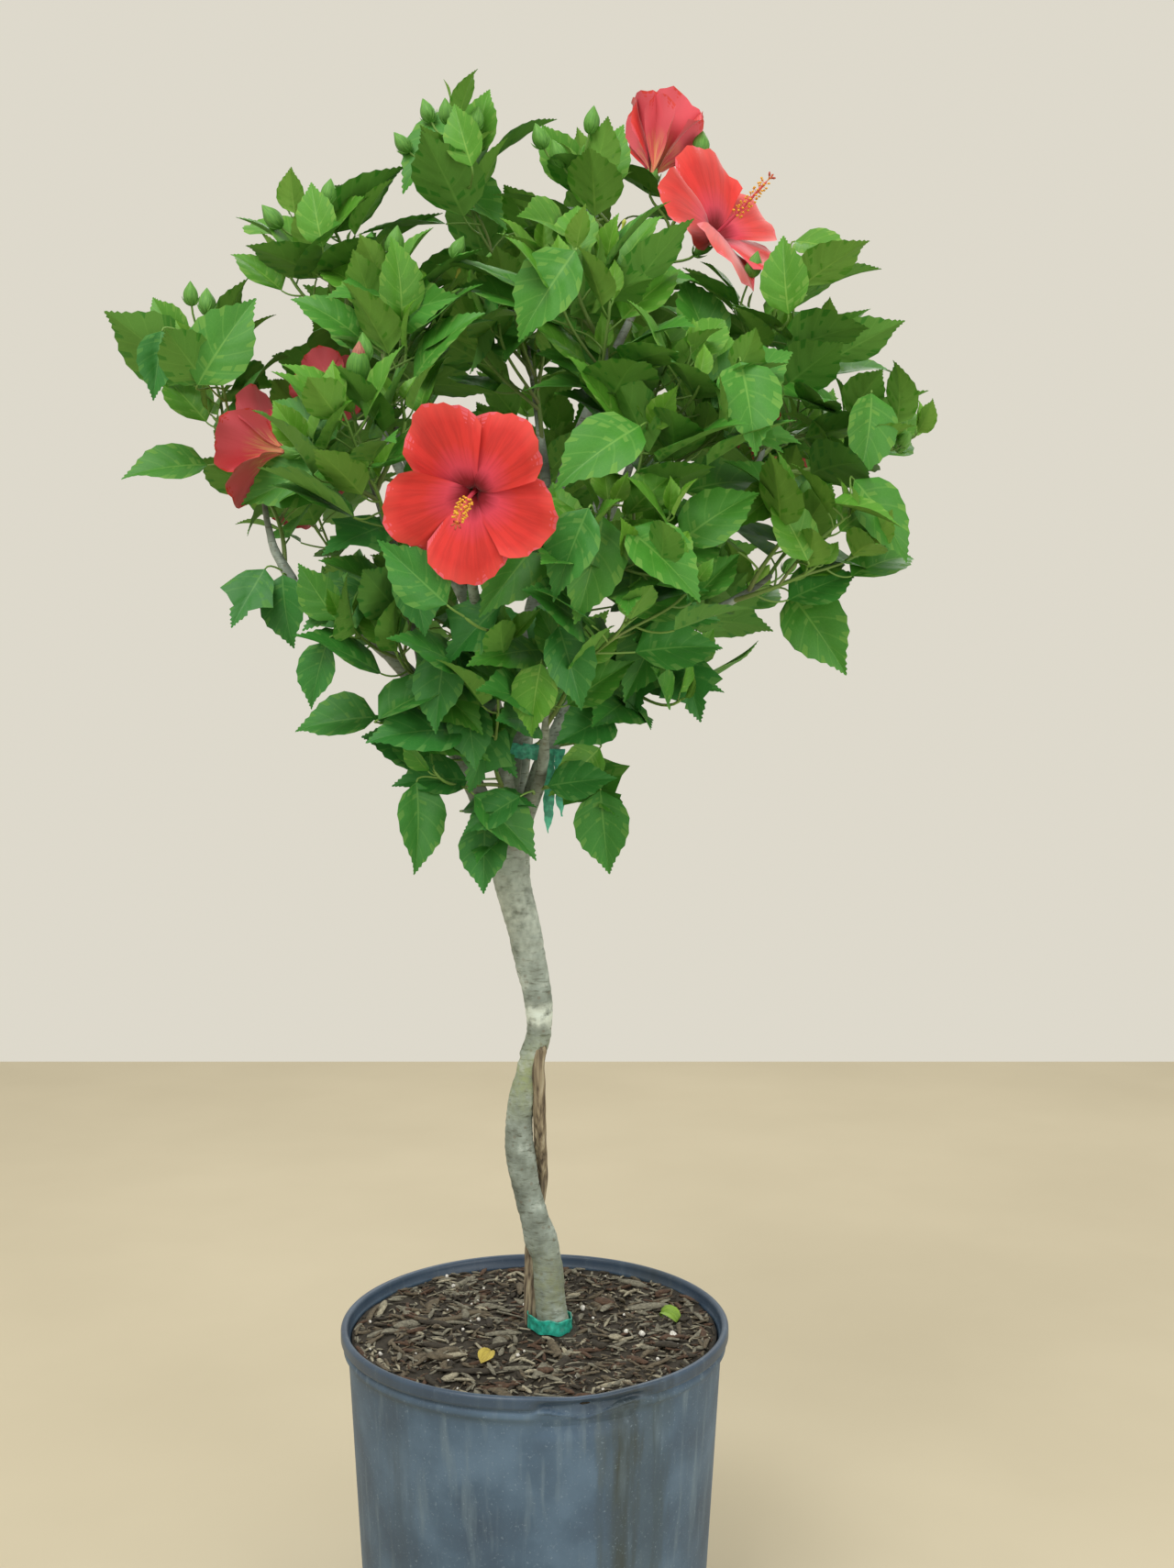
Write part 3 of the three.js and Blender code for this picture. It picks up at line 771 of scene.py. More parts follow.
def wrapNoise(line, sides, around, along, seed, radius=0.013):
    # Seamless noise over a limb, with bumps this many metres apart round it and along it.
    turn = np.linspace(0, 2 * math.pi, sides, endpoint=False)
    run = limbRun(line)[:, None] + 0 * turn
    wide = radius * along / around
    return noiseAt(np.stack([wide * np.cos(turn) + 0 * run, wide * np.sin(turn) + 0 * run, run], 2),
                   along, seed)


def roundEnd(line, length):
    # Shares of the radius that round off the end of a limb.
    left = limbRun(line)[-1] - limbRun(line)
    return np.sqrt(1 - (1 - np.clip(left / length, 0, 1)) ** 2) * 0.985 + 0.015


def makeTrunk():
    size = barkSize
    line = limbLine("trunk", size["trunkRings"], cuts=24)
    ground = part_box("trunk")[0][2]
    flare = size["flare"] * np.exp(-np.maximum(line[:, 2] - ground, 0) / (size["flareHeight"] * mm))
    foot = 1 - smoothStep(line[:, 2], ground, ground + size["footTall"] * mm)
    line[:, 0] -= size["footShift"] * mm * foot
    radii = line[:, 3] * roundEnd(line, 10 * mm) * (1 - size["footThin"] * foot)
    sides = size["trunkSides"]
    grid = tubeGrid(line[:, :3], radii, sides)
    outward = unit(grid - line[:, None, :3])
    turn = np.arctan2(outward[..., 0], -outward[..., 1])
    swell = flare[:, None] * line[:, 3:] * (1 + 0.5 * np.sin(3 * turn + 0.8))
    swell = swell + size["lump"] * mm * wrapNoise(line, sides, 0.018, 0.038, 1)
    swell = swell + size["flute"] * mm * wrapNoise(line, sides, 0.006, 0.07, 2)
    swell = swell + size["wrinkle"] * mm * wrapNoise(line, sides, 0.016, 0.0045, 3)
    swell = swell + 0.5 * size["wrinkle"] * mm * wrapNoise(line, sides, 0.006, 0.0025, 4)
    for height, wide, degrees, rise in trunkKnots:
        # A swelling with a dimple in its middle.
        level = np.argmin(np.abs(line[:, 2] - height * mm))
        way = fromFront(degrees)
        away = np.linalg.norm(grid - line[level, :3] - way * line[level, 3], axis=2) / (wide * mm)
        swell = swell + rise * mm * (np.exp(-away ** 2) - np.exp(-(away * 2.6) ** 2))
    batch = Batch()
    batch.addGrid(grid + outward * swell[..., None], wrap=True)
    piece = batch.makePiece("trunk_bark", thinGreyBark(), "bark")
    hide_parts("trunk")
    return line


def makeStub(line):
    # The short dead stub left at the knot below the fork.
    size = barkSize
    rings, sides = size["stubRings"], size["stubSides"]
    height, wide, degrees, rise = trunkKnots[0]
    level = np.argmin(np.abs(line[:, 2] - height * mm))
    way = fromFront(degrees, 0.45)
    start = line[level, :3] + way * line[level, 3] * 0.7
    end = start + way * size["stub"] * mm + up * 2 * mm
    stub = smoothLine([start, start + way * size["stub"] * 0.6 * mm, end], rings)
    radii = np.linspace(size["stubFoot"], size["stubEnd"], rings) * mm * roundEnd(stub, 1.5 * mm)
    grid = tubeGrid(stub, radii, sides)
    swell = size["wrinkle"] * mm * wrapNoise(stub, sides, 0.005, 0.006, 9)
    batch = Batch()
    batch.addGrid(grid + unit(grid - stub[:, None]) * swell[..., None], wrap=True)
    batch.makePiece("cut_stub", silveredWood(), "bark")


def follows(line, other):
    # Whether a limb starts where another one ends.
    return np.linalg.norm(line[14, :3] - other[-4, :3]) < 22 * mm


def makeBoughs():
    # Each bough is one tapering limb with a collar where it leaves the wood below it. Returns the
    # limbs that shoots can grow from: all but those that only run on into another.
    size = barkSize
    lines = {}
    bark = bpy.data.materials["thinGreyBark"]
    plain = {node: limbLine(node, size["boughRings"]) for node in boughNodes}
    for number, node in enumerate(boughNodes):
        line = plain[node]
        before = [other for other in boughNodes if follows(plain[node], plain[other])]
        after = [other for other in boughNodes if follows(plain[other], plain[node])]
        if before:
            # This length carries on round the bend from the end of another bough.
            joint = np.concatenate([plain[before[0]][-34:-12:7], line[24::6]])
            line = smoothLine(joint, size["boughRings"])
        run = limbRun(line)
        share = run / run[-1]
        thin = smoothStep(share, 0.55, 1.0) * (0 if after else 1)
        radii = line[:, 3] * (1 - thin) + size["tipRadius"] * mm * thin
        collar = 0 if before else size["collar"]
        radii = radii * (1 + collar * np.exp(-run / (size["collarLength"] * mm)))
        grid = tubeGrid(line[:, :3], radii * roundEnd(line, 2 * mm), size["boughSides"])
        swell = 0.09 * wrapNoise(line, size["boughSides"], 0.014, 0.03, 20 + number)
        swell = swell + 0.045 * wrapNoise(line, size["boughSides"], 0.012, 0.005, 60 + number)
        batch = Batch()
        batch.addGrid(grid + (grid - line[:, None, :3]) * swell[..., None], wrap=True)
        piece = batch.makePiece(node + "_bark", bark, "bark")
        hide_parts(node)
        if not after:
            lines[node] = np.column_stack([line[:, :3], radii])
    return lines


def makeDeadStem():
    size = barkSize
    sides = size["deadSides"]
    line = limbLine("dead_stem", size["deadRings"], cuts=20)
    swell = 1.1 * mm * wrapNoise(line, sides, 0.0028, 0.06, 5, 0.005)
    swell = swell + 0.8 * mm * wrapNoise(line, sides, 0.006, 0.02, 6, 0.005)
    # Half way up it leans in against the trunk.
    first, full, last, end = (height * mm for height in size["seam"])
    close = smoothStep(line[:, 2], first, full) * (1 - smoothStep(line[:, 2], last, end))
    line[:, 0] -= size["lean"] * mm * close
    rounded = roundEnd(line, 5 * mm)[:, None]
    grid = tubeGrid(line[:, :3], line[:, 3:] * 1.05 * rounded, sides)
    grid = grid + unit(grid - line[:, None, :3]) * (swell * rounded)[..., None]
    # Fibres of unequal length stand up at the broken top.
    run = limbRun(line)
    broken = smoothStep(run, run[-1] - size["splinterFrom"] * mm, run[-1])[:, None]
    grid[:, :, 2] -= broken * size["splinter"] * mm * (
        0.5 + 0.5 * wrapNoise(line, sides, 0.0025, 0.2, 7, 0.005))
    batch = Batch()
    batch.addGrid(grid, wrap=True)
    piece = batch.makePiece("dead_stem_wood", silveredWood(), "dead_wood")
    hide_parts("dead_stem")


boughNodes = sorted(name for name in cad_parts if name.startswith("bough_"))
trunkLine = makeTrunk()
makeStub(trunkLine)
boughLines = makeBoughs()
makeDeadStem()
print("trunk and boughs made:", len(boughNodes), "boughs")


# Tapes

tapeSize = {  # millimetres
    "height": 13, "thick": 0.35, "crumple": 1.1, "scallop": 0.8, "sides": 120,
    "tail": 76, "tailWidth": 19, "tailRight": 19, "tailFront": 13.5, "tailBelow": 4,
    # The crown tape is given a paler copy of the band's teal: painted light.
    "band": "#2fb39c", "loose": "#63d6b8",
    # Half width and depth, and the way from the frame's tie to the side and down.
    "bands": {"base_tie": (21.0, 21.5, 5.6, 2.5), "crown_tie": (26.5, 12.5, 0, 0)},
}


def stretchTape(name, colour):
    # Nursery tape, PVC film rolled thin: teal and slightly shiny, crumpled, with a darker copy of its
    # colour in the hollows of the crumples as painted shade.
    material, tree, shader, place = newMaterial(name, 0.38, ior=1.53)
    creases = addNode(tree, "TexNoise", {"Vector": place, "Scale": perMetre(5), "Detail": 4.0})
    light = hexColour(colour)
    shade = addNode(tree, "MapRange", {"Value": creases, "From": (0.4, 0.6)})
    # Painted shade: the hollows of the crumples take the darker copy of the colour.
    mixed = addNode(tree, "Mix", {"Factor": shade, "A": shaded(light, 0.55), "B": light})
    bump = addNode(tree, "Bump", {"Height": creases, "Strength": 0.4, "Distance": 0.7 * mm})
    fillSockets(tree, shader, {"Base Color": mixed, "Normal": bump})
    return material


def makeTape(node, seed, slope):
    # A band of film that follows the frame's tie, crumpled and hanging lower on one side.
    size = tapeSize
    low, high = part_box(node)
    band = np.array(size["bands"][node]) * mm
    halves = band[:2]
    middle = np.array(low[:2]) + halves + (band[2], 0)
    turn = np.linspace(-math.pi, math.pi, size["sides"], endpoint=False)
    reach = 1 / np.hypot(np.cos(turn) / halves[0], np.sin(turn) / halves[1])
    rows = np.linspace(0, 1, 12)[:, None]
    tall = size["height"] * mm
    top = high[2] - band[3]
    heights = top - tall * (1 - rows) - slope * mm * np.cos(turn)
    heights = heights + size["scallop"] * mm * np.sin(7 * turn)
    crumple = noiseAt(np.stack([np.cos(turn) * 0.02 + 0 * rows, np.sin(turn) * 0.02 + 0 * rows,
                                rows * 0.012 + 0 * turn], 2), 0.006, seed) * size["crumple"] * mm
    radius = reach - 0.6 * mm + crumple
    outer = np.stack([middle[0] + radius * np.cos(turn), middle[1] + radius * np.sin(turn), heights], 2)
    inner = outer[::-1].copy()
    centre = np.array([*middle, 0])
    inner[:, :, :2] -= unit((inner - centre)[:, :, :2]) * 2 * size["thick"] * mm
    return np.concatenate([outer, inner, outer[:1]])


def makeBaseTie():
    batch = Batch()
    batch.addGrid(makeTape("base_tie", 31, 2.2), wrap=True)
    piece = batch.makePiece("base_tape", stretchTape("stretchTape", tapeSize["band"]), "tie_tape")
    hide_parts("base_tie")


def makeCrownTie():
    batch = Batch()
    batch.addGrid(makeTape("crown_tie", 32, 1.0), wrap=True)
    # The torn tail hangs down and splits into two ragged ends.
    low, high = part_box("crown_tie")
    size = tapeSize
    for side, length in ((-1, 1.0), (1, 0.8)):
        rows, columns = 26, 7
        run = np.linspace(0, 1, rows)[:, None]
        across = np.linspace(-1, 1, columns)[None, :]
        wide = size["tailWidth"] / 4 * (1 - 0.85 * smoothStep(run, 0.72, 1))
        split = side * size["tailWidth"] / 4 * (1 + 0.3 * run ** 2)
        ragged = 0.5 * np.sin(23 * run + side + 2 * across) + 0.3 * np.sin(51 * run)
        x = size["tailRight"] + split + across * wide + ragged * np.abs(across)
        y = -size["tailFront"] - 5 * np.sin(2.4 * run + 0.3) + 0.9 * np.sin(7 * run + 1.5 * across)
        z = high[2] / mm - size["tailBelow"] - size["tail"] * length * run + 0 * across
        sheet = np.stack([x + 0 * z, y + 0 * z, z], 2) * mm
        back = sheet + np.array([0, size["thick"] * mm, 0]) * (1 - across ** 2)[..., None]
        batch.addGrid(sheet, flip=True)
        batch.addGrid(back)
    # The crown tape takes the paler copy of the teal: painted light.
    piece = batch.makePiece("crown_tape", stretchTape("looseTape", size["loose"]), "tie_tape")
    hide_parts("crown_tie")


makeBaseTie()
makeCrownTie()
print("tapes made")


# Places in the crown

crownMiddle = np.array([0.0, 0.0, 1.06])  # what the crown's leaves and shoots point away from
massNodes = sorted(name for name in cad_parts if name.startswith("mass_"))
massBoxes = np.array([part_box(name) for name in massNodes])
massMiddles = massBoxes.mean(1)
massHalves = (massBoxes[:, 1] - massBoxes[:, 0]) / 2
compass = {"left": (-1, 0, 0), "right": (1, 0, 0), "front": (0, -1, 0), "back": (0, 1, 0),
           "up": (0, 0, 1), "down": (0, 0, -1)}


def toward(words):
    # The way that words such as "front left" give. A word said twice counts double.
    return unit(np.sum([compass[word] for word in words.split()], axis=0))


def inMass(name, share):
    # A place in a mass of foliage: along each axis 0 is its middle and 1 its skin.
    index = massNodes.index("mass_" + name)
    return massMiddles[index] + massHalves[index] * np.array(share)


def outsideCrown(points):
    # How far points are outside the nearest mass: 1 at its skin, more beyond it.
    away = (points[..., None, :] - massMiddles) / massHalves
    return np.linalg.norm(away, axis=-1).min(-1)


class Wood:
    # Every place that a shoot or stalk can grow from, with its direction and radius.
    def __init__(self):
        self.points = np.zeros((0, 3))
        self.ways = np.zeros((0, 3))
        self.radii = np.zeros(0)

    def add(self, line, radii):
        self.points = np.concatenate([self.points, line])
        self.ways = np.concatenate([self.ways, unit(np.gradient(line, axis=0))])
        self.radii = np.concatenate([self.radii, radii])

    def nearest(self, end, climb=0.3, swerve=0.5, reach=0.0):
        # Prefers wood that is lower than the end, already grows towards it and is not too near.
        gap = end - self.points
        far = np.linalg.norm(gap, axis=1) + 1e-6
        aside = 1 - (gap * self.ways).sum(1) / far
        cost = far * (1 + swerve * aside) + np.maximum(0, climb * far - gap[:, 2])
        best = np.argmin(cost + 1.5 * np.maximum(0, reach - far))
        return self.points[best], self.ways[best], self.radii[best]


# What grows where: a mass of foliage and the side of it that a thing stands on.

bareMasses = [  # these hold only what is listed here
    "front_bloom", "top_blooms", "left_leaf", "left_low", "low_left_leaf", "foot_left",
    "foot_right", "right_droop",
]
fullness = {  # share of its even lot of seeded shoots that a mass gets, where that isn't 1
    "top_left": 0.35, "top_middle": 0.4, "upper_left": 0.5, "left_tip": 0.4, "right_tip": 0.5,
    "upper_right": 0.6, "upper_front": 0.8, "upper_front_left": 0.8, "left_middle": 0.4,
    "left_front": 0.8, "front_right": 1.3, "right_front": 1.2, "left_low_front": 1.2, "back": 1.5,
    "upper_middle": 1.6, "low_front": 1.4, "low_left": 1.2, "low_right": 1.1, "left_low_back": 0.9,
    "low_back": 1.3,
}
blooms = [  # mass, throat as shares of its half sizes, way it faces, petal in mm, opening, turn, droop
    ("front_bloom", (0.05, -0.2, 0.15), (-0.14, -0.93, -0.32), 76, 84, 52, 0.42),
    ("left_middle", (-0.2, -0.5, 0.15), (-0.86, 0.30, 0.12), 66, 58, 10, 0.1),
    ("top_blooms", (-0.65, 0.2, 0.2), (0.20, 0.30, 0.90), 80, 24, 20, 0.1),
    ("top_blooms", (0.08, -0.3, -0.66), (0.64, -0.58, 0.5), 92, 76, 100, -0.1),
    ("left_middle", (0.35, 0.5, 1.15), (-0.35, 0.85, 0.35), 44, 66, 0, 0.1),
    ("back_right", (0.2, 0.7, 0.0), (0.30, 0.90, 0.10), 72, 80, 30, 0.2),
    ("back_left", (-0.2, 0.6, 0.0), (-0.45, 0.85, -0.10), 70, 82, 60, 0.25),
]
leadShoots = [  # mass, side of it, way the tip points, leaves, and what stands round the tip
    ("top_left", "front", "up", 8, "bud bud bud bud"),
    ("top_left", "right down", "up up right", 6, ""),
    ("top_middle", "front", "up", 8, "bud bud"),
    ("top_middle", "right front down", "up up right", 7, "bud bud bud"),
    ("top_blooms", "left left down", "up", 5, "bud"),
    ("upper_left", "front", "up up left", 8, "bud bud spent"),
    ("upper_left", "right right back", "up", 6, ""),
    ("upper_middle", "back", "up", 7, ""),
    ("upper_front", "right up", "up up front", 8, "spent"),
    ("upper_front", "left down back", "up up front", 5, ""),
    ("upper_front_left", "right right up", "up up front", 8, "bud bud spent"),
    ("upper_front_left", "left left front", "up left", 7, ""),
    ("left_tip", "front", "up up left", 8, "bud bud"),
    ("left_middle", "front front right", "up left front", 6, ""),
    ("left_front", "back up", "up up front", 7, "ripe bud"),
    ("upper_right", "left", "up", 8, "bud"),
    ("upper_right", "back down", "up right", 6, ""),
    ("right_tip", "front down", "up up right right", 7, "bud bud bud"),
    ("right_low", "left back", "up up right front", 7, "bud bud"),
    ("right_front", "back back up", "up up front", 7, ""),
    ("right_front", "back down down right", "up up front right", 6, "withered"),
    ("front_right", "front", "up front", 7, ""),
    ("front_right", "left left front", "up front front", 5, ""),
]
# Most leaves low in the crown are listed in the darker tones old and shade: painted shade of the crown
# above them.
leadLeaves = [  # mass, and of each leaf the side that its tip lies on, its tone and how it lies
    ("left_leaf", ["left, full, flat"]),
    ("left_low", ["left down front, shade, lobed", "right down down, shade, steep"]),
    ("left_front", ["left left down, full, under"]),
    ("left_low_front", ["left up front, shade, lobed", "left left down, old, lobed",
        "right down front, shade, steep", "down left, shade, dangling"]),
    ("low_left_leaf", ["left, old, flat"]),
    ("low_left", ["down down left, old, dangling", "right front, full, flat",
        "right front up up, old, flat", "left up front, shade, lobed", "front, shade, steep"]),
    ("front_bloom", ["left left left down, old, raised"]),
    ("low_front", ["up left front, full, steep", "up right front, shade, steep", "front left, full, flat",
        "down down front, young, steep", "right down front, shade, steep", "left left, shade, lobed"]),
    ("front_right", ["down down left front, full, steep", "left down front, old, steep",
        "left left front, young, flat", "left up front, full, steep", "front up, young, flat",
        "down front, full, flat", "right down front, full, flat"]),
    ("right_front", ["down right front, full, steep", "right right down, full, flat",
        "up front, full, flat", "left left up front, full, under"]),
    ("low_right", ["right up, old, lobed", "right down down, shade, lobed", "left down front, old, steep",
        "down down left, shade, lobed"]),
    ("right_droop", ["right down, full, flat"]),
    ("right_low", ["right right down, full, flat", "right front, young, flat",
        "left left front, young, flat", "up front left, young, raised"]),
    ("foot_right", ["left left left up front, young, steep", "right down down front, old, steep",
        "right up front, shade, flat", "right front, full, lobed"]),
    ("foot_left", ["left front, shade, flat", "left down front front, old, flat",
        "down down down front left, shade, steep", "right right down front, old, flat",
        "left up front, shade, lobed", "up up right front, shade, lobed",
        "right right front up, shade, flat", "up up front, shade, steep"]),
    ("low_left", ["right right down front, full, flat", "down right front, shade, steep"]),
    ("upper_right", ["right down front, full, under", "right up, young, flat", "up front, young, raised",
        "left left up, full, raised"]),
    ("right_tip", ["left left front up, full, flat", "front down, full, steep"]),
    ("top_left", ["right up up, young, raised", "front front up, young, raised",
        "left left down front, full, flat", "right down, full, flat"]),
    ("top_middle", ["left up, young, raised", "right up, young, raised"]),
    ("upper_left", ["right up front, young, flat", "left left up front, full, flat",
        "up front, young, raised"]),
    ("left_tip", ["up left, young, raised", "right up front, full, flat", "left down front, shade, steep"]),
    ("upper_front_left", ["up front, young, raised", "front left, full, flat", "right front, full, flat"]),
    ("left_front", ["left up front, young, flat", "right up front, full, flat"]),
    ("left_middle", ["left down front, full, flat"]),
    ("upper_front", ["left down front, full, flat", "right front, full, under"]),
    ("upper_middle", ["down front, full, flat", "down down front left, old, flat",
        "down right front, full, flat"]),
    ("upper_front", ["left up front, young, flat"]),
]


# Shoots

shootSize = {  # millimetres and degrees, but for the share of its mass that a shoot's tip goes out
    "seeded": 170, "seed": 5, "tipRadius": 1.15, "thicken": 0.0135, "leaveAngle": 45,
    "green": 95, "kink": 1.3, "kinkEvery": 19, "sides": 7, "step": 5.5, "node": 0.16, "nodeLong": 2.6,
    "reach": 85, "depth": 0.32, "spread": 65, "most": 42, "stalk": 22,
}


def seededShoots(rng):
    # Tips spread through the outer part of each mass, away from those that are already there.
    rows = [(inMass(mass, toward(side) * shootSize["depth"]), toward(way), leaves, extras)
            for mass, side, way, leaves, extras in leadShoots]
    tips = [row[0] for row in rows]
    volumes = massHalves.prod(1) ** 0.8
    wanted = volumes / volumes.sum() * shootSize["seeded"]
    for index in rng.permutation(len(massNodes)):
        if massNodes[index][5:] in bareMasses:
            continue
        share = fullness.get(massNodes[index][5:], 1)
        for number in range(int(round(wanted[index] * share))):
            ways = unit(rng.normal(size=(40, 3)))
            spots = massMiddles[index] + ways * massHalves[index] * rng.uniform(0.2, 0.62, (40, 1))
            outward = ((spots - crownMiddle) * (massMiddles[index] - crownMiddle)).sum(1)
            outward = outward / np.linalg.norm(massMiddles[index] - crownMiddle) ** 2
            room = np.linalg.norm(spots[:, None] - np.array(tips), axis=2).min(1)
            tip = spots[np.argmax(np.minimum(room, shootSize["spread"] * mm) + 0.03 * outward)]
            tips.append(tip)
            aside = (tip - crownMiddle) * (1, 1, 0.35)
            heading = unit(aside * 3.2 + up * 0.9 + rng.normal(size=3) * 0.18)
            rows.append((tip, heading, 6 + rng.integers(0, 3), ""))
    return rows


def growShoot(wood, start, way, radius, tip, heading, swerve=1.0):
    # One shoot: it leaves the wood at an angle, curves up to its heading and thins to its tip.
    size = shootSize
    gap = tip - start
    length = np.linalg.norm(gap)
    ahead = gap / length
    aside = unit(ahead - way * (ahead @ way) + up * 0.05)
    angle = math.radians(size["leaveAngle"])
    leaving = unit(swerve * (way * math.cos(angle) + aside * math.sin(angle)) + ahead * 0.8)
    count = max(10, int(length / (size["step"] * mm)))
    line = equalSteps(bendLine(start, leaving, tip, heading, count), count)
    run = limbRun(line)
    left = run[-1] - run
    tipRadius = size["tipRadius"] * mm
    baseRadius = min(radius * 0.85, tipRadius + size["thicken"] * run[-1])
    radii = tipRadius + (max(baseRadius, tipRadius * 1.1) - tipRadius) * (left / run[-1]) ** 0.85
    # It bends a little at each leaf, more in its middle than at its ends.
    kink = size["kink"] * mm * np.sin(run / (size["kinkEvery"] * mm)) * smoothStep(run, 0, 15 * mm)
    kink = kink * np.minimum(1, left / (20 * mm))
    line = line + unit(np.cross(line[-1] - line[0], up + 0.01))[None] * kink[:, None]
    wood.add(line[2:], radii[2:])
    return {"line": line, "radii": radii, "left": left}


def growShoots(wood, rows):
    # The tip nearest to wood that is already there grows next.
    shoots = []
    waiting = list(range(len(rows)))
    tips = np.array([row[0] for row in rows])
    # Each bough's own end runs on into the shoot that lies best ahead of it.
    for node, line in boughLines.items():
        end, way = line[-3, :3], unit(line[-3, :3] - line[-9, :3])
        gap = tips[waiting] - end
        far = np.linalg.norm(gap, axis=1)
        ahead = (gap @ way) / far
        cost = far * (1 + 1.2 * (1 - ahead)) + np.where(far < 0.03, 0.1, 0)
        number = waiting.pop(int(np.argmin(cost)))
        tip, heading, leaves, extras = rows[number]
        shoot = growShoot(wood, end, way, line[-3, 3] / 0.85, tip, heading)
        shoots.append((shoot, leaves, tip, extras))
    while waiting:
        far = [np.linalg.norm(wood.points - tips[k], axis=1).min() for k in waiting]
        number = waiting.pop(int(np.argmin(far)))
        tip, heading, leaves, extras = rows[number]
        start, way, radius = wood.nearest(tip, reach=shootSize["reach"] * mm)
        shoots.append((growShoot(wood, start, way, radius, tip, heading), leaves, tip, extras))
    return shoots


# Leaves

leafForm = {  # of a blade 1 long, but for its thickness in mm
    "rows": 19, "columns": (-1, -0.72, -0.36, 0, 0.36, 0.72, 1), "halfWidth": 0.325, "veins": 6,
    "sweep": 0.26, "tooth": 0.011, "quilt": 0.012, "thick": 0.3,
}
leafAges = [  # from the tip down, in mm and degrees: place, blade, stalk, slope, fold, and its tone
    (3, 26, 5, 72, 34, "tip"), (9, 40, 9, 60, 32, "tip"), (17, 56, 14, 47, 29, "young"),
    (28, 69, 21, 32, 27, "young"), (43, 79, 27, 14, 23, "full"), (61, 83, 31, -4, 20, "full"),
    (82, 82, 32, -20, 18, "full"), (106, 76, 30, -34, 18, "old"), (132, 70, 28, -44, 18, "old"),
]
# The shade tone, the darkest, is painted shade for leaves low in the crown and deep inside it.
leafTones = {  # upper side, underside and veins
    "tip": ("#639c28", "#76a23e", "#93bc54"), "young": ("#529024", "#6a9a3a", "#85b149"),
    "full": ("#418526", "#5e9238", "#74a747"), "old": ("#377f2b", "#558c3a", "#6aa149"),
    "shade": ("#30782c", "#4c863a", "#629a49"),
}
leadBlades = {"tip": 46, "young": 62, "full": 84, "old": 76, "shade": 66}  # length in mm
bladeLies = {  # how much a blade hangs, and the way that its upper side faces
    "flat": (0.3, (0.05, -0.75, 0.75)), "steep": (1.5, (0.1, -1.0, 0.35)),
    "dangling": (2.5, (0.4, -1.0, 0.1)), "under": (-0.55, (0.1, 0.75, 0.7)),
    "lobed": (0.75, (0.0, -1.0, 0.5)), "raised": (-1.1, (0.0, -1.0, 0.1)),
}
leafSkin = {"glossy": 0.54, "dull": 0.74}  # roughness of the upper side and of the underside
leafRoom = {  # how leaves make room for each other, in metres and in weights of what is in their way
    "tries": 9, "crowd": 0.012, "near": 0.14, "most": 7.5, "skin": 1.06, "outside": 14.0,
    "clear": 40.0, "beyond": 4000, "past": (0.012, 0.015),
}
# Leaves below these heights take darker tones: painted shade of the crown above them.
shadeHeights = (0.97, 0.86)  # a leaf lower than each of these is a tone darker


def waxyLeaf(tone):
    # A living leaf: waxy skin over green tissue, glossy above and dull and paler beneath, with a
    # light midrib and side veins. Across and along the blade are read from its flat map.
    top, under, veins = (hexColour(text) for text in leafTones[tone])
    material, tree, shader, flat = newMaterial("waxyLeaf_" + tone, leafSkin["glossy"], ior=1.42,
                                               mapped=True)
    axes = addNode(tree, "SeparateXYZ", {"Vector": flat})
    beneath = addNode(tree, "Math", {0: axes.outputs["X"], 1: 0.5}, operation="GREATER_THAN")
    across = addNode(tree, "Math", {0: axes.outputs["X"], 1: 0.5}, operation="MODULO")
    across = addNode(tree, "Math", {0: across, 1: 0.25}, operation="SUBTRACT")
    across = addNode(tree, "Math", {0: across}, operation="ABSOLUTE")
    midrib = addNode(tree, "MapRange", {"Value": across, "From": (0.014, 0.004), "To": (0.0, 0.65)})
    around = addNode(tree, "Math", {0: axes.outputs["Y"], 1: 2 * math.pi * leafForm["veins"] / 0.96},
                     operation="MULTIPLY")
    wave = addNode(tree, "Math", {0: around, 1: -0.13}, operation="ADD")
    wave = addNode(tree, "Math", {0: wave}, operation="COSINE")
    side = addNode(tree, "MapRange", {"Value": wave, "From": (0.93, 1.0), "To": (0.0, 0.26)})
    lines = addNode(tree, "Math", {0: midrib, 1: side}, operation="MAXIMUM")
    cells = addNode(tree, "Mapping", {"Vector": flat, "Scale": (34, 22, 1)})
    mesh = addNode(tree, "TexVoronoi", {"Vector": cells, "Scale": 1.0}, feature="DISTANCE_TO_EDGE")
    net = addNode(tree, "MapRange", {"Value": mesh.outputs["Distance"], "From": (0.08, 0.0),
                                     "To": (0.0, 0.1)})
    lines = addNode(tree, "Math", {0: lines, 1: net}, operation="MAXIMUM")
    clouds = addNode(tree, "TexNoise", {"Vector": flat, "Scale": 5.0, "Detail": 3.0})
    shade = addNode(tree, "MapRange", {"Value": clouds, "From": (0.3, 0.7), "To": (0.0, 0.4)})
    upper = addNode(tree, "Mix", {"Factor": shade, "A": top, "B": shaded(top, 0.72)})
    body = addNode(tree, "Mix", {"Factor": beneath, "A": upper, "B": under})
    finish = addNode(tree, "Mix", {"Factor": lines, "A": body, "B": veins})
    rough = addNode(tree, "MapRange", {"Value": beneath, "To": (leafSkin["glossy"], leafSkin["dull"])})
    fillSockets(tree, shader, {"Base Color": finish, "Roughness": rough})
    return material


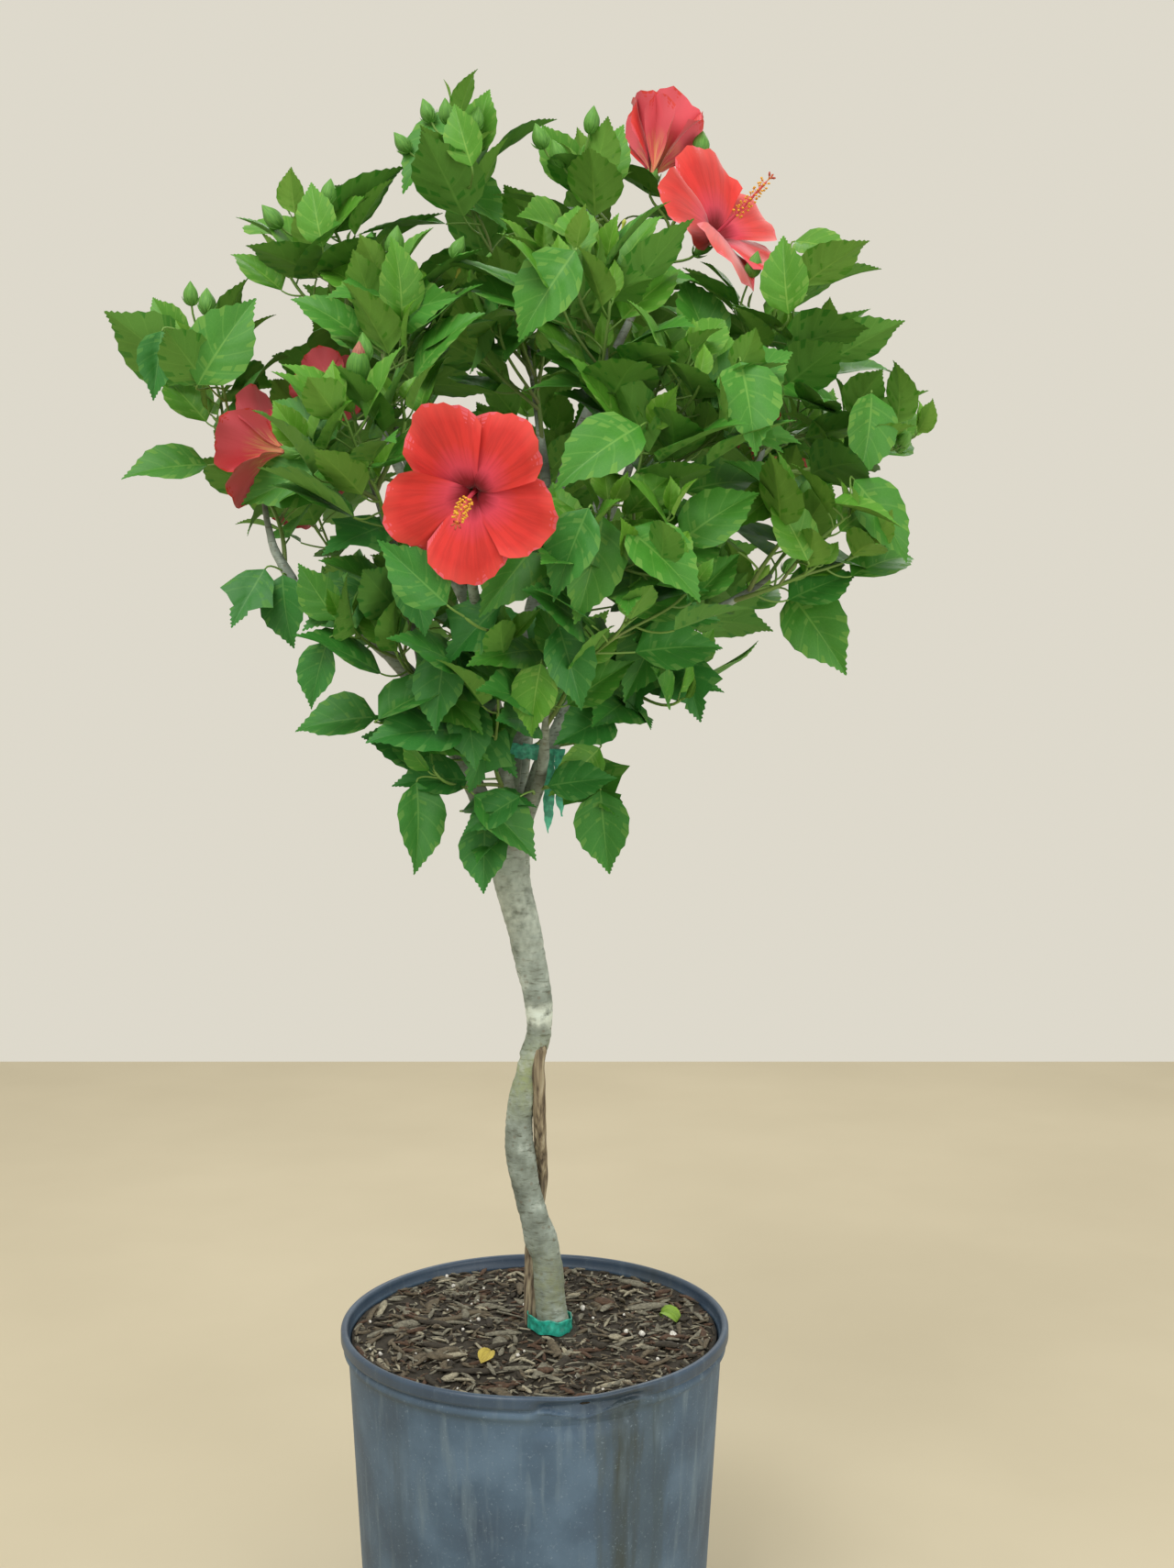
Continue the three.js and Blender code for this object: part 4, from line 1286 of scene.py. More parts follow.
def leafBlade(rng, length, fold, arch, lobed=False):
    # Upper and under sheet of one blade: base at the origin, tip along +Y, upper side up. Its rows
    # follow the side veins, so the edge is toothed where a row meets it.
    form = leafForm
    t = np.linspace(0, 1, form["rows"])[:, None]
    c = np.array(form["columns"])[None, :]
    edge = t + form["sweep"] * np.sin(math.pi * t ** 0.8)
    wide = rng.uniform(0.9, 1.08) * form["halfWidth"]
    half = wide * np.maximum(np.sin(math.pi * edge ** 0.716), 0) ** 0.9
    half = half * (1 - 0.5 * smoothStep(edge, 0.6, 1)) + 0.004
    if lobed:
        # A shoulder half way up on either side, and a notch above it.
        shoulder = 0.38 * np.exp(-((edge - 0.50) / 0.085) ** 2)
        half = half * (1 + shoulder - 0.42 * np.exp(-((edge - 0.68) / 0.07) ** 2))
    zone = smoothStep(edge, 0.16, 0.4) * (1 - smoothStep(edge, 0.95, 1))
    odd = np.arange(form["rows"])[:, None] % 2
    tooth = form["tooth"] * (1.5 if lobed else 1) * zone * np.where(odd, 1.0, -0.4)
    rim = np.abs(c) ** 5
    x = c * half + np.sign(c) * rim * tooth
    y = t + (edge - t) * np.abs(c) ** 1.3 + rim * tooth * 0.8
    slope = fold * (1 - rng.uniform(0.2, 0.7) * np.abs(c) * half / wide)
    lift = np.abs(x) * np.sin(slope)
    veins = np.cos(2 * math.pi * form["veins"] * t) * 4 * np.abs(c) * (1 - np.abs(c))
    lift = lift - form["quilt"] * veins * half / wide
    phase = rng.uniform(0, 2 * math.pi, 2)
    wave = np.where(c < 0, np.sin(9 * y + phase[0]), np.sin(8 * y + phase[1]))
    lift = lift + 0.016 * wave * c ** 2 * half / wide
    x = x * np.cos(slope)
    twist = rng.uniform(-0.25, 0.25) * (y - 0.2)
    x, lift = x * np.cos(twist) - lift * np.sin(twist), x * np.sin(twist) + lift * np.cos(twist)
    steps = np.linspace(0, 1.02, 40)
    bend = arch * (0.5 - steps) - 0.35 * arch * smoothStep(steps, 0.7, 1)
    ribY = np.concatenate([[0], np.cumsum(np.cos(bend[1:]) * np.diff(steps))])
    ribZ = np.concatenate([[0], np.cumsum(np.sin(bend[1:]) * np.diff(steps))])
    tilt = np.interp(y, steps, bend)
    thick = form["thick"] * mm / length * (1 - c ** 4) * np.sin(math.pi * np.clip(t, 0.02, 0.98))
    sheets = []
    for side in (1, -1):
        z = lift + side * thick / 2
        sheets.append(np.stack([x + 0 * z, np.interp(y, steps, ribY) - z * np.sin(tilt),
                                np.interp(y, steps, ribZ) + z * np.cos(tilt)], 2) * length)
    return sheets


def sheetPlaces(across, along):
    # The flat map of a leaf or petal: its upper side or front on the left half, the other on the right.
    return [np.stack([middle + 0.23 * across + 0 * along, along + 0 * across], 2)
            for middle in (0.25, 0.75)]


def leafPlaces():
    return sheetPlaces(np.array(leafForm["columns"])[None, :],
                       np.linspace(0.02, 0.98, leafForm["rows"])[:, None])


class Foliage:
    # Leaves that are already placed, what they must leave clear, and the batches they go into.
    def __init__(self, wood):
        self.wood = wood
        self.centres = np.zeros((0, 3))
        self.samples = np.zeros((0, 7, 3))
        self.clear = []
        self.batches = {tone: Batch() for tone in leafTones}
        self.stalks = Batch()
        self.places = leafPlaces()
        self.count = 0

    def spots(self, base, along, face, length):
        # Seven places on each blade of a stack of tries.
        across = np.cross(along, face)
        mid = [base + along * length * s for s in (0.12, 0.4, 0.68, 0.95)]
        sides = [base + along * length * 0.45 + across * length * s for s in (-0.25, 0.25)]
        sides.append(base + along * length * 0.7)
        return np.stack(mid + sides, 1)

    def cost(self, spots):
        # What stands in the way of each try: other leaves, clear zones and the crown's bounds.
        room = leafRoom
        near = np.linalg.norm(self.centres - spots[:, 1].mean(0), axis=1) < room["near"]
        others = self.samples[near].reshape(-1, 3)
        away = ((spots[:, :, None] - others) ** 2).sum(-1)
        cost = np.exp(-away / room["crowd"] ** 2).sum((1, 2))
        cost = cost + room["outside"] * np.maximum(0, outsideCrown(spots) - room["skin"]).sum(1)
        low, high = np.array(cadLow) - room["past"][0], np.array(cadHigh) + room["past"][1]
        beyond = np.maximum(0, np.maximum(low - spots, spots - high)).sum((1, 2))
        cost = cost + room["beyond"] * beyond
        for middle, radius in self.clear:
            inside = np.maximum(0, radius - np.linalg.norm(spots - middle, axis=2)).sum(1)
            cost = cost + room["clear"] * inside / radius
        return cost

    def stalk(self, start, leaving, base, along, radius=0.8):
        line = bendLine(start, leaving, base, along, 7)
        radii = np.linspace(radius * 1.25, radius, 7) * mm
        places = tubePlaces(7, 5, lengths=(0.86, 1.0))
        self.stalks.addGrid(tubeGrid(line, radii, 5), places, wrap=True)

    def addLeaf(self, rng, base, along, face, length, tone, fold, arch, lobed=False):
        across = np.cross(along, face)
        axes = np.stack([across, along, face])
        for side, sheet in enumerate(leafBlade(rng, length, fold, arch, lobed)):
            self.batches[tone].addGrid(sheet @ axes + base, self.places[side], flip=side == 1)
        self.centres = np.concatenate([self.centres, [base + along * length * 0.45]])
        self.samples = np.concatenate([self.samples,
                                       self.spots(base[None], along[None], face[None], length)])
        self.count += 1


def squareTo(face, along):
    return unit(face - along * (face * along).sum(-1, keepdims=True))


def paintedShadeTone(tone, base):
    # Leaves low in the crown are given a darker tone: painted shade of the crown above them.
    tones = list(leafTones)
    steps = sum(base[2] < height for height in shadeHeights)
    return tones[min(tones.index(tone) + steps, len(tones) - 1)]


def hangLeaves(foliage, rng, shoot, leaves, tip):
    # A spiral of leaves down one shoot: the youngest stand up, the oldest hang.
    line, left = shoot["line"], shoot["left"]
    ways = unit(np.gradient(line, axis=0))
    turn = rng.uniform(0, 2 * math.pi)
    vigour = rng.uniform(0.88, 1.08)
    outward = unit((tip - crownMiddle) * (1, 1, 0.4))
    for place, blade, stalk, slope, fold, tone in leafAges[:leaves]:
        turn += goldenTurn
        if place * mm > left[0] - 6 * mm:
            continue
        node = pointOn(line[::-1], left[::-1], place * mm)
        way = ways[np.argmin(np.abs(left - place * mm))]
        tries = leafRoom["tries"]
        angle = turn + rng.normal(size=tries) * 0.38
        side = unit(np.cross(way, [0.31, 0.17, 0.2]))
        other = np.cross(way, side)
        out = np.cos(angle)[:, None] * side + np.sin(angle)[:, None] * other
        level = unit(out * (1, 1, 0) + 1e-6)
        rise = np.radians(slope + rng.normal(size=tries) * 11)[:, None]
        along = np.cos(rise) * level + np.sin(rise) * up
        along = unit(along + 0.3 * way * math.cos(math.radians(slope)))
        length = blade * vigour * rng.uniform(0.9, 1.1) * mm
        reach = stalk * rng.uniform(0.85, 1.2) * mm
        leaving = unit(out * 0.85 + way * 0.6)
        base = node + reach * unit(0.55 * leaving + 0.5 * along)
        sky = unit(up + 0.85 * outward + rng.normal(size=(tries, 3)) * 0.22)
        face = squareTo(sky, along)
        cost = foliage.cost(foliage.spots(base, along, face, length))
        best = int(np.argmin(cost))
        if cost[best] > leafRoom["most"]:
            continue
        foliage.stalk(node, leaving[best], base[best], along[best], 0.55 + 0.3 * blade / 90)
        bend = math.radians(rng.uniform(8, 34) + max(0, -slope) * 0.5)
        # A low leaf takes a darker tone: painted shade.
        foliage.addLeaf(rng, base[best], along[best], face[best], length, paintedShadeTone(tone, base[best]),
                        math.radians(fold + rng.uniform(-6, 6)), bend)


def placeLeadLeaves(foliage, rng, twigs):
    # Each of these reaches the skin of its mass with its tip, the clearest way of a few.
    tries = leafRoom["tries"]
    rows = [(mass, *text.split(", ")) for mass, leaves in leadLeaves for text in leaves]
    for mass, side, tone, lie in rows:
        way = toward(side)
        hang, light = bladeLies[lie]
        along = unit(way * (1, 0.5, 0.55) - up * hang + rng.normal(size=(tries, 3)) * 0.2)
        length = leadBlades[tone] * rng.uniform(0.9, 1.1) * mm
        base = inMass(mass, way) - along * length
        if lie == "dangling":
            base = inMass(mass, way * 0.85) + 0 * along
        face = squareTo(np.array(light) + rng.normal(size=(tries, 3)) * 0.25, along)
        best = int(np.argmin(foliage.cost(foliage.spots(base, along, face, length))))
        base, along, face = base[best], along[best], face[best]
        root, wood, radius = foliage.wood.nearest(base, climb=0.0, swerve=0.25)
        gap = np.linalg.norm(base - root)
        if gap > shootSize["most"] * mm:
            # Too far for a stalk: a thin twig grows out first.
            end = base - unit(base - root + along * gap * 0.4) * shootSize["stalk"] * mm
            heading = unit(base - root + up * 0.2 * gap)
            twig = growShoot(foliage.wood, root, wood, radius, end, heading, 0.3)
            twigs.append((twig, 0, end, ""))
            root, wood = end, unit(base - end)
        foliage.stalk(root, unit(unit(base - root) + 0.5 * wood), base, along)
        foliage.addLeaf(rng, base, along, face, length, tone, math.radians(rng.uniform(18, 36)),
                        math.radians(rng.uniform(8, 34)), lie == "lobed")


def greenTwig():
    # Living twig: smooth green skin near the tip, ageing down the shoot to thin brown-grey cork.
    material, tree, shader, flat = newMaterial("greenTwig", 0.55, mapped=True)
    height = addNode(tree, "SeparateXYZ", {"Vector": flat}).outputs["Y"]
    freckles = addNode(tree, "TexNoise", {"Vector": flat, "Scale": 26.0, "Detail": 4.0})
    spread = addNode(tree, "MapRange", {"Value": freckles, "To": (-0.16, 0.16)})
    age = addNode(tree, "Math", {0: height, 1: spread}, operation="ADD")
    colours = addNode(tree, "ValToRGB", {"Fac": age},
                      [(0.0, "#76705b"), (0.3, "#837c62"), (0.52, "#7d8356"), (0.68, "#6f8a45"),
                       (1.0, "#729a45")])
    bump = addNode(tree, "Bump", {"Height": freckles, "Strength": 0.25, "Distance": 0.3 * mm})
    fillSockets(tree, shader, {"Base Color": colours, "Normal": bump})
    return material


def makeTwigs(twigs):
    batch = Batch()
    size = shootSize
    for shoot, leaves, tip, extras in twigs:
        line, radii, left = shoot["line"], shoot["radii"], shoot["left"]
        # Swellings at the leaf nodes, and green skin only near the tip.
        swell = size["node"] * sum(np.exp(-((left - age[0] * mm) / (size["nodeLong"] * mm)) ** 2)
                                   for age in leafAges[:max(leaves, 3)])
        radii = radii * (1 + swell) * roundEnd(line, 1.2 * mm)
        age = np.clip(1 - left / (2 * size["green"] * mm), 0.02, 0.98)
        around = np.linspace(0, 0.5, size["sides"] + 1)
        place = np.stack(np.meshgrid(around, age), 2)
        batch.addGrid(tubeGrid(line, radii, size["sides"]), place, wrap=True)
    batch.makePiece("twigs", greenTwig(), "bark", mapped=True)


# Blooms and buds

bloomForm = {  # millimetres and degrees; the seat and the column are shares of a petal
    "rows": 23, "columns": 19, "halfAngle": 38, "throat": 3.2, "ruffle": 5.0, "overlap": 11,
    "thick": 0.3, "seat": 0.24, "calyxBelow": 14, "calyx": 20, "calyxRadius": 6.2, "bracts": 13,
    "column": 0.86, "columnRings": 26, "anthers": 52, "anther": 1.15, "filament": 4.6, "seed": 21,
}
petalColours = {"front": "#d5332e", "blush": "#cf4a6c", "eye": "#84101f", "edge": "#dd5048",
                "back": "#da5863", "backFoot": "#e0aa70"}


def silkyPetal():
    # A hibiscus petal: thin living tissue with velvety cells, so it is soft and dull with a faint
    # sheen. Inside it is scarlet with a crimson eye; the back is pinker with pale yellow veins.
    material, tree, shader, flat = newMaterial("silkyPetal", 0.6, ior=1.38, mapped=True)
    fillSockets(tree, shader, {"Sheen Weight": 0.25, "Sheen Roughness": 0.4})
    colours = {name: hexColour(text) for name, text in petalColours.items()}
    axes = addNode(tree, "SeparateXYZ", {"Vector": flat})
    behind = addNode(tree, "Math", {0: axes.outputs["X"], 1: 0.5}, operation="GREATER_THAN")
    along = axes.outputs["Y"]
    drawn = addNode(tree, "Mapping", {"Vector": flat, "Scale": (46, 2.2, 1)})
    veins = addNode(tree, "TexNoise", {"Vector": drawn, "Scale": 1.0, "Detail": 3.0})
    streaks = addNode(tree, "MapRange", {"Value": veins, "From": (0.42, 0.66)})
    rays = addNode(tree, "MapRange", {"Value": veins, "To": (-0.09, 0.09)})
    placed = addNode(tree, "Math", {0: along, 1: rays}, operation="ADD")
    eye = addNode(tree, "MapRange", {"Value": placed, "From": (0.36, 0.2)})
    blushed = addNode(tree, "MapRange", {"Value": placed, "From": (0.6, 0.3), "To": (0.0, 0.55)})
    edged = addNode(tree, "MapRange", {"Value": along, "From": (0.82, 1.0), "To": (0.0, 0.6)})
    lined = shaded(colours["front"], 0.6)
    faint = addNode(tree, "Math", {0: streaks, 1: 0.5}, operation="MULTIPLY")
    front = addNode(tree, "Mix", {"Factor": faint, "A": colours["front"], "B": lined})
    front = addNode(tree, "Mix", {"Factor": edged, "A": front, "B": colours["edge"]})
    front = addNode(tree, "Mix", {"Factor": blushed, "A": front, "B": colours["blush"]})
    front = addNode(tree, "Mix", {"Factor": eye, "A": front, "B": colours["eye"]})
    foot = addNode(tree, "MapRange", {"Value": placed, "From": (0.62, 0.16)})
    foot = addNode(tree, "Math", {0: foot, 1: streaks}, operation="MULTIPLY")
    foot = addNode(tree, "Math", {0: foot, 1: 1.7}, operation="MULTIPLY", use_clamp=True)
    back = addNode(tree, "Mix", {"Factor": foot, "A": colours["back"], "B": colours["backFoot"]})
    finish = addNode(tree, "Mix", {"Factor": behind, "A": front, "B": back})
    bump = addNode(tree, "Bump", {"Height": veins, "Strength": 0.4, "Distance": 0.5 * mm})
    fillSockets(tree, shader, {"Base Color": finish, "Normal": bump})
    return material


def dustyAnther():
    # Pollen on a fresh anther: matt orange-yellow grains.
    material, tree, shader, place = newMaterial("dustyAnther", 0.9)
    grains = addNode(tree, "TexNoise", {"Vector": place, "Scale": perMetre(0.6), "Detail": 2.0})
    colour = addNode(tree, "ValToRGB", {"Fac": grains}, [(0.35, "#d08a20"), (0.62, "#f2c247")])
    fillSockets(tree, shader, {"Base Color": colour})
    return material


def fleshyColumn():
    # The staminal column and stigmas: smooth wet-looking tissue, pink-red with a paler tip.
    material, tree, shader, flat = newMaterial("fleshyColumn", 0.42, mapped=True)
    along = addNode(tree, "SeparateXYZ", {"Vector": flat}).outputs["Y"]
    colour = addNode(tree, "ValToRGB", {"Fac": along},
                     [(0.0, "#a81d2c"), (0.35, "#d4566a"), (0.7, "#e0684f"), (0.9, "#e59a4a"),
                      (1.0, "#a8202a")])
    fillSockets(tree, shader, {"Base Color": colour})
    return material


def downySkin(name, light, dark):
    # Young plant skin with fine downy ribs: dull, with darker furrows. Sepals and bracts have it
    # in green; a furled petal, the scar of a spent bloom and a dropped leaf in their own colours.
    material, tree, shader, flat = newMaterial(name, 0.62, mapped=True)
    ribs = addNode(tree, "Mapping", {"Vector": flat, "Scale": (60, 3, 1)})
    wave = addNode(tree, "TexNoise", {"Vector": ribs, "Scale": 1.0, "Detail": 2.0})
    shade = addNode(tree, "MapRange", {"Value": wave, "From": (0.35, 0.65)})
    mixed = addNode(tree, "Mix", {"Factor": shade, "A": hexColour(dark), "B": hexColour(light)})
    fillSockets(tree, shader, {"Base Color": mixed})
    return material


def petalSheets(rng, length, opening, number):
    # Front and back of one petal as (across, out, lift) before it is bent out of the funnel.
    form = bloomForm
    v = np.linspace(0.04, 1, form["rows"])[:, None]
    u = np.linspace(-1, 1, form["columns"])[None, :]
    phase = rng.uniform(0, 2 * math.pi, 4)
    rim = 1 - 0.37 * np.abs(u - 0.1) ** 2.4 + 0.02 * np.sin(8 * u + phase[0])
    rim = rim + 0.012 * np.sin(23 * u + phase[1])
    out = v * rim * length
    widening = 0.72 + 0.28 * np.sin(math.pi * np.minimum(v, 0.8) / 1.6)
    angle = np.radians(form["halfAngle"]) * u * widening
    across = out * np.sin(angle)
    run = out * np.cos(angle)
    waves = np.sin(5.2 * u + phase[2]) * v ** 3 + 0.6 * np.sin(11 * u + phase[3]) * v ** 6
    ruffle = form["ruffle"] * mm * waves * (0.45 + 0.55 * np.abs(u))
    lift = across * math.tan(math.radians(form["overlap"])) + ruffle
    lift = lift + 0.22 * mm * np.sin(34 * u) * v * (1 - v ** 4) - 2.5 * mm * np.abs(u) ** 2 * v
    steps = np.linspace(0, 1.15, 50)
    lean = math.radians(opening)
    start = lean * 0.16
    course = start + (lean - start) * smoothStep(steps, 0.02, 0.42) + 0.3 * smoothStep(steps, 0.6, 1.1)
    course = course + 0.06 * math.sin(number * 2.3)
    courseOut = np.concatenate([[0], np.cumsum(np.sin(course[1:]) * np.diff(steps))]) * length
    courseUp = np.concatenate([[0], np.cumsum(np.cos(course[1:]) * np.diff(steps))]) * length
    place = run / length
    tilt = np.interp(place, steps, course)
    sheets = []
    for side in (1, -1):
        z = lift + side * form["thick"] * mm / 2 * (1 - u ** 4) * (1 - v ** 6)
        radial = np.interp(place, steps, courseOut) - z * np.cos(tilt)
        rise = np.interp(place, steps, courseUp) + z * np.sin(tilt)
        sheets.append(np.stack([across + 0 * z, radial, rise], 2))
    return sheets


columnGuide = np.array([0.3, 0.5, 0.8])
budGuide = np.array([0.2, 0.4, 0.9])


def sideAxes(way, guide=up):
    # Two directions square to the way given and to each other; the first is square to the guide.
    side = unit(np.cross(guide, way))
    return side, np.cross(way, side)


def makeBlooms(foliage, rng):
    form = bloomForm
    petals, columns, anthers, calyx = Batch(), Batch(), Batch(), Batch()
    across = np.linspace(-1, 1, form["columns"])[None, :]
    places = sheetPlaces(across, np.linspace(0, 1, form["rows"])[:, None])
    for mass, place, facing, petal, opening, turn, droop in blooms:
        way = unit(np.array(facing))
        base = inMass(mass, place) - way * petal * form["seat"] * mm
        right, top = sideAxes(way)
        for number in range(5):
            angle = math.radians(turn + 72 * number + rng.uniform(-5, 5))
            radial = spoke(angle, right, top)
            tangent = np.cross(radial, way)
            length = petal * rng.uniform(0.95, 1.05) * mm
            foot = base + radial * form["throat"] * mm * 0.6
            opened = opening * rng.uniform(0.88, 1.1)
            for side, sheet in enumerate(petalSheets(rng, length, opened, number)):
                grid = sheet @ np.stack([tangent, radial, way]) + foot
                petals.addGrid(grid, places[side], flip=side == 1)
        addColumn(rng, columns, anthers, base, way, petal * form["column"] * mm, droop)
        # The calyx cup behind the petals, its five teeth, the bracts under it and the stalk.
        below = base - way * form["calyxBelow"] * mm
        addCup(calyx, below, way, form["calyx"] * mm, form["calyxRadius"] * mm, 5)
        addBracts(calyx, rng, below, way, form["bracts"] * mm, 7)
        root, wood, radius = foliage.wood.nearest(base - way * 30 * mm, climb=0.1, swerve=0.3)
        leaving = unit(unit(below - root) + 0.8 * wood)
        foliage.stalk(root, leaving, base - way * (form["calyxBelow"] - 1) * mm, way, 1.2)
    petals.makePiece("bloom_petals", silkyPetal(), "petal", mapped=True)
    columns.makePiece("bloom_columns", fleshyColumn(), "stamen", mapped=True)
    anthers.makePiece("bloom_anthers", dustyAnther(), "stamen")
    return calyx


def addColumn(rng, columns, anthers, base, way, length, droop):
    # The long column that carries the anthers and ends in five stigma branches.
    form = bloomForm
    rings = form["columnRings"]
    places = np.linspace(0, 1, rings)
    end = base + way * length - up * droop * length * 0.35
    line = bendLine(base, way, end, unit(way - up * droop), rings)
    radii = np.interp(places, [0, 0.12, 1], [2.6, 1.7, 1.0]) * mm * roundEnd(line, 1 * mm)
    columns.addGrid(tubeGrid(line, radii, 12), tubePlaces(rings, 12, (0, 0.5), (0.0, 0.62)), wrap=True)
    ways = unit(np.gradient(line, axis=0))
    for number in range(form["anthers"]):
        share = 0.46 + 0.5 * (number + rng.uniform(0, 0.8)) / form["anthers"]
        root = pointOn(line, places, share)
        along = ways[int(share * (rings - 1))]
        out = spoke(number * goldenTurn, *sideAxes(along, columnGuide))
        reach = out + along * rng.uniform(0.1, 0.6)
        tip = root + reach * form["filament"] * mm * rng.uniform(0.75, 1.15)
        thread = tubeGrid(bendLine(root, out, tip, unit(out + along), 4), np.full(4, 0.22 * mm), 4)
        columns.addGrid(thread, tubePlaces(4, 4, (0, 0.5), (0.7, 0.86)), wrap=True)
        anthers.addGrid(crumb(rng, form["anther"] * mm) * (1, 1, 0.75) + tip, wrap=True)
    side, other = sideAxes(ways[-1], columnGuide)
    for number in range(5):
        out = spoke(2 * math.pi * number / 5, side, other)
        tip = line[-1] + ways[-1] * 5.5 * mm + out * 4 * mm
        branch = bendLine(line[-1] - ways[-1] * 0.5 * mm, ways[-1], tip, unit(out + ways[-1]), 6)
        radii = np.array([0.5, 0.4, 0.4, 0.45, 1.1, 0.36]) * mm
        columns.addGrid(tubeGrid(branch, radii, 7), tubePlaces(6, 7, (0, 0.5), (0.88, 1.0)), wrap=True)


def addCup(batch, base, way, length, radius, teeth, closed=False):
    # A ribbed cup or, closed, a bud: rows run from its foot to its teeth or point.
    rows, sides = 13, 15
    t = np.linspace(0.02, 1, rows)[:, None]
    turn = np.linspace(0, 2 * math.pi, sides, endpoint=False)[None, :]
    if closed:
        girth = np.sin(math.pi * t ** 0.72) ** 0.72 * (1 - 0.30 * smoothStep(t, 0.6, 1)) + 0.03
        ribs = 1 + 0.085 * np.cos(5 * turn) * np.sin(math.pi * t) + 0.03 * np.cos(10 * turn)
        lengthwise = t * length * (1 + 0 * turn)
    else:
        girth = np.sqrt(np.clip(t * 1.6, 0, 1)) * (1 + 0.1 * t)
        ribs = 1 + 0.04 * np.cos(10 * turn)
        lengthwise = t * length * (1 - 0.38 * t * (0.5 - 0.5 * np.cos(teeth * turn)))
    side, other = sideAxes(way, budGuide)
    spokes = np.cos(turn)[..., None] * side + np.sin(turn)[..., None] * other
    grid = base + lengthwise[..., None] * way + (radius * girth * ribs)[..., None] * spokes
    if not closed:
        inner = grid[::-1] - spokes * 0.5 * mm
        grid = np.concatenate([grid, inner])
    batch.addGrid(grid, tubePlaces(len(grid), sides), wrap=True)


def addBracts(batch, rng, base, way, length, count):
    # Narrow pointed bracts in a ring under the calyx.
    side, other = sideAxes(way, budGuide)
    for number in range(count):
        angle = 2 * math.pi * number / count + rng.uniform(-0.2, 0.2)
        out = spoke(angle, side, other)
        tip = base + way * length * 0.62 + out * length * rng.uniform(0.45, 0.7)
        line = bendLine(base + out * 0.6 * mm, unit(out + way * 0.3), tip, unit(way + out * 0.3), 7)
        radii = np.array([0.7, 0.95, 1.0, 0.85, 0.6, 0.35, 0.08]) * length * 0.075
        batch.addGrid(tubeGrid(line, radii, 5), tubePlaces(7, 5), wrap=True)


budForm = {  # millimetres; "share" is of the shoots at the back, which end in a bud by chance
    "reach": 46, "longest": 70, "bud": 24, "ripe": 34, "spent": 19, "withered": 15, "share": 0.42,
    "seed": 22,
}
backFrom = 0.03  # metres behind the trunk where the back of the crown begins
clearing = {  # shares of a petal that leaves keep off a bloom; for the crown tie, shares and metres
    "bloomAhead": 0.4, "bloom": 0.9, "shownBlooms": 4, "shown": 0.6,
    "tiePlace": (0.25, 0, 0.6), "tieAhead": 0.03, "tie": 0.02,
}


def makeBuds(foliage, rng, calyx, shoots):
    ripe, spent = Batch(), Batch()
    rows = []
    for shoot, leaves, tip, extras in shoots:
        heading = unit(shoot["line"][-1] - shoot["line"][-4])
        kinds = extras.split()
        if tip[1] > backFrom and rng.uniform() < budForm["share"]:
            kinds.append("bud")
        # They stand out round the tip, each a golden turn on from the last.
        side, other = sideAxes(heading, budGuide)
        turn = rng.uniform(0, 2 * math.pi)
        for number, kind in enumerate(kinds):
            turn += goldenTurn
            out = spoke(turn, side, other)
            reach = budForm["reach"] * rng.uniform(0.85, 1.15) * mm
            place = tip + unit(heading * (1.3 - 0.3 * number) + out * (1, 0.5, 1) * 0.8) * reach
            rows.append((place, budForm[kind] * rng.uniform(0.82, 1.1), kind))
    bloomZones = list(foliage.clear)
    for place, size, kind in rows:
        root, way, radius = foliage.wood.nearest(place - up * 12 * mm, climb=0.6, swerve=0.4)
        # At the back a bud stands clear of the blooms and near its own twig.
        crowded = min(np.linalg.norm(place - middle) - zone for middle, zone in bloomZones) < 0
        stray = np.linalg.norm(place - root) > budForm["longest"] * mm
        if place[1] > backFrom and (crowded or stray):
            continue
        length = size * mm
        heading = unit(unit(place - root) + 0.5 * up + rng.normal(size=3) * 0.1)
        base = place - heading * length / 2
        leaving = unit(unit(base - root) * 0.8 + way)
        foliage.stalk(root, leaving, base + heading * 0.5 * mm, heading, 0.95 if size > 20 else 0.7)
        if kind == "spent":
            # Only the bare stalk and its yellow scar are left.
            line = bendLine(base, heading, base + heading * length * 0.5, heading, 8)
            radii = np.array([0.9, 0.9, 0.95, 1.1, 1.5, 1.7, 1.5, 0.3]) * mm
            spent.addGrid(tubeGrid(line, radii, 8), tubePlaces(8, 8), wrap=True)
            continue
        body = ripe if kind == "withered" else calyx
        addCup(body, base, heading, length, length * 0.29, 5, closed=True)
        if kind == "ripe":
            # A furled petal tip shows out of the calyx.
            addCup(ripe, base + heading * length * 0.45, heading, length * 0.62, length * 0.17, 5,
                   closed=True)
        addBracts(calyx, rng, base, heading, length * 0.62, 7)
        foliage.clear.append((base + heading * length * 0.5, length * 0.6))
    calyx.makePiece("buds", downySkin("calyxSkin", "#6aa042", "#4c8432"), "leaf", mapped=True)
    furled = downySkin("furledPetal", "#c98a72", "#8d4a44")
    ripe.makePiece("ripe_bud_tips", furled, "petal", mapped=True)
    scar = downySkin("yellowScar", "#cfd05c", "#a9b648")
    spent.makePiece("spent_stalks", scar, "leaf", mapped=True)


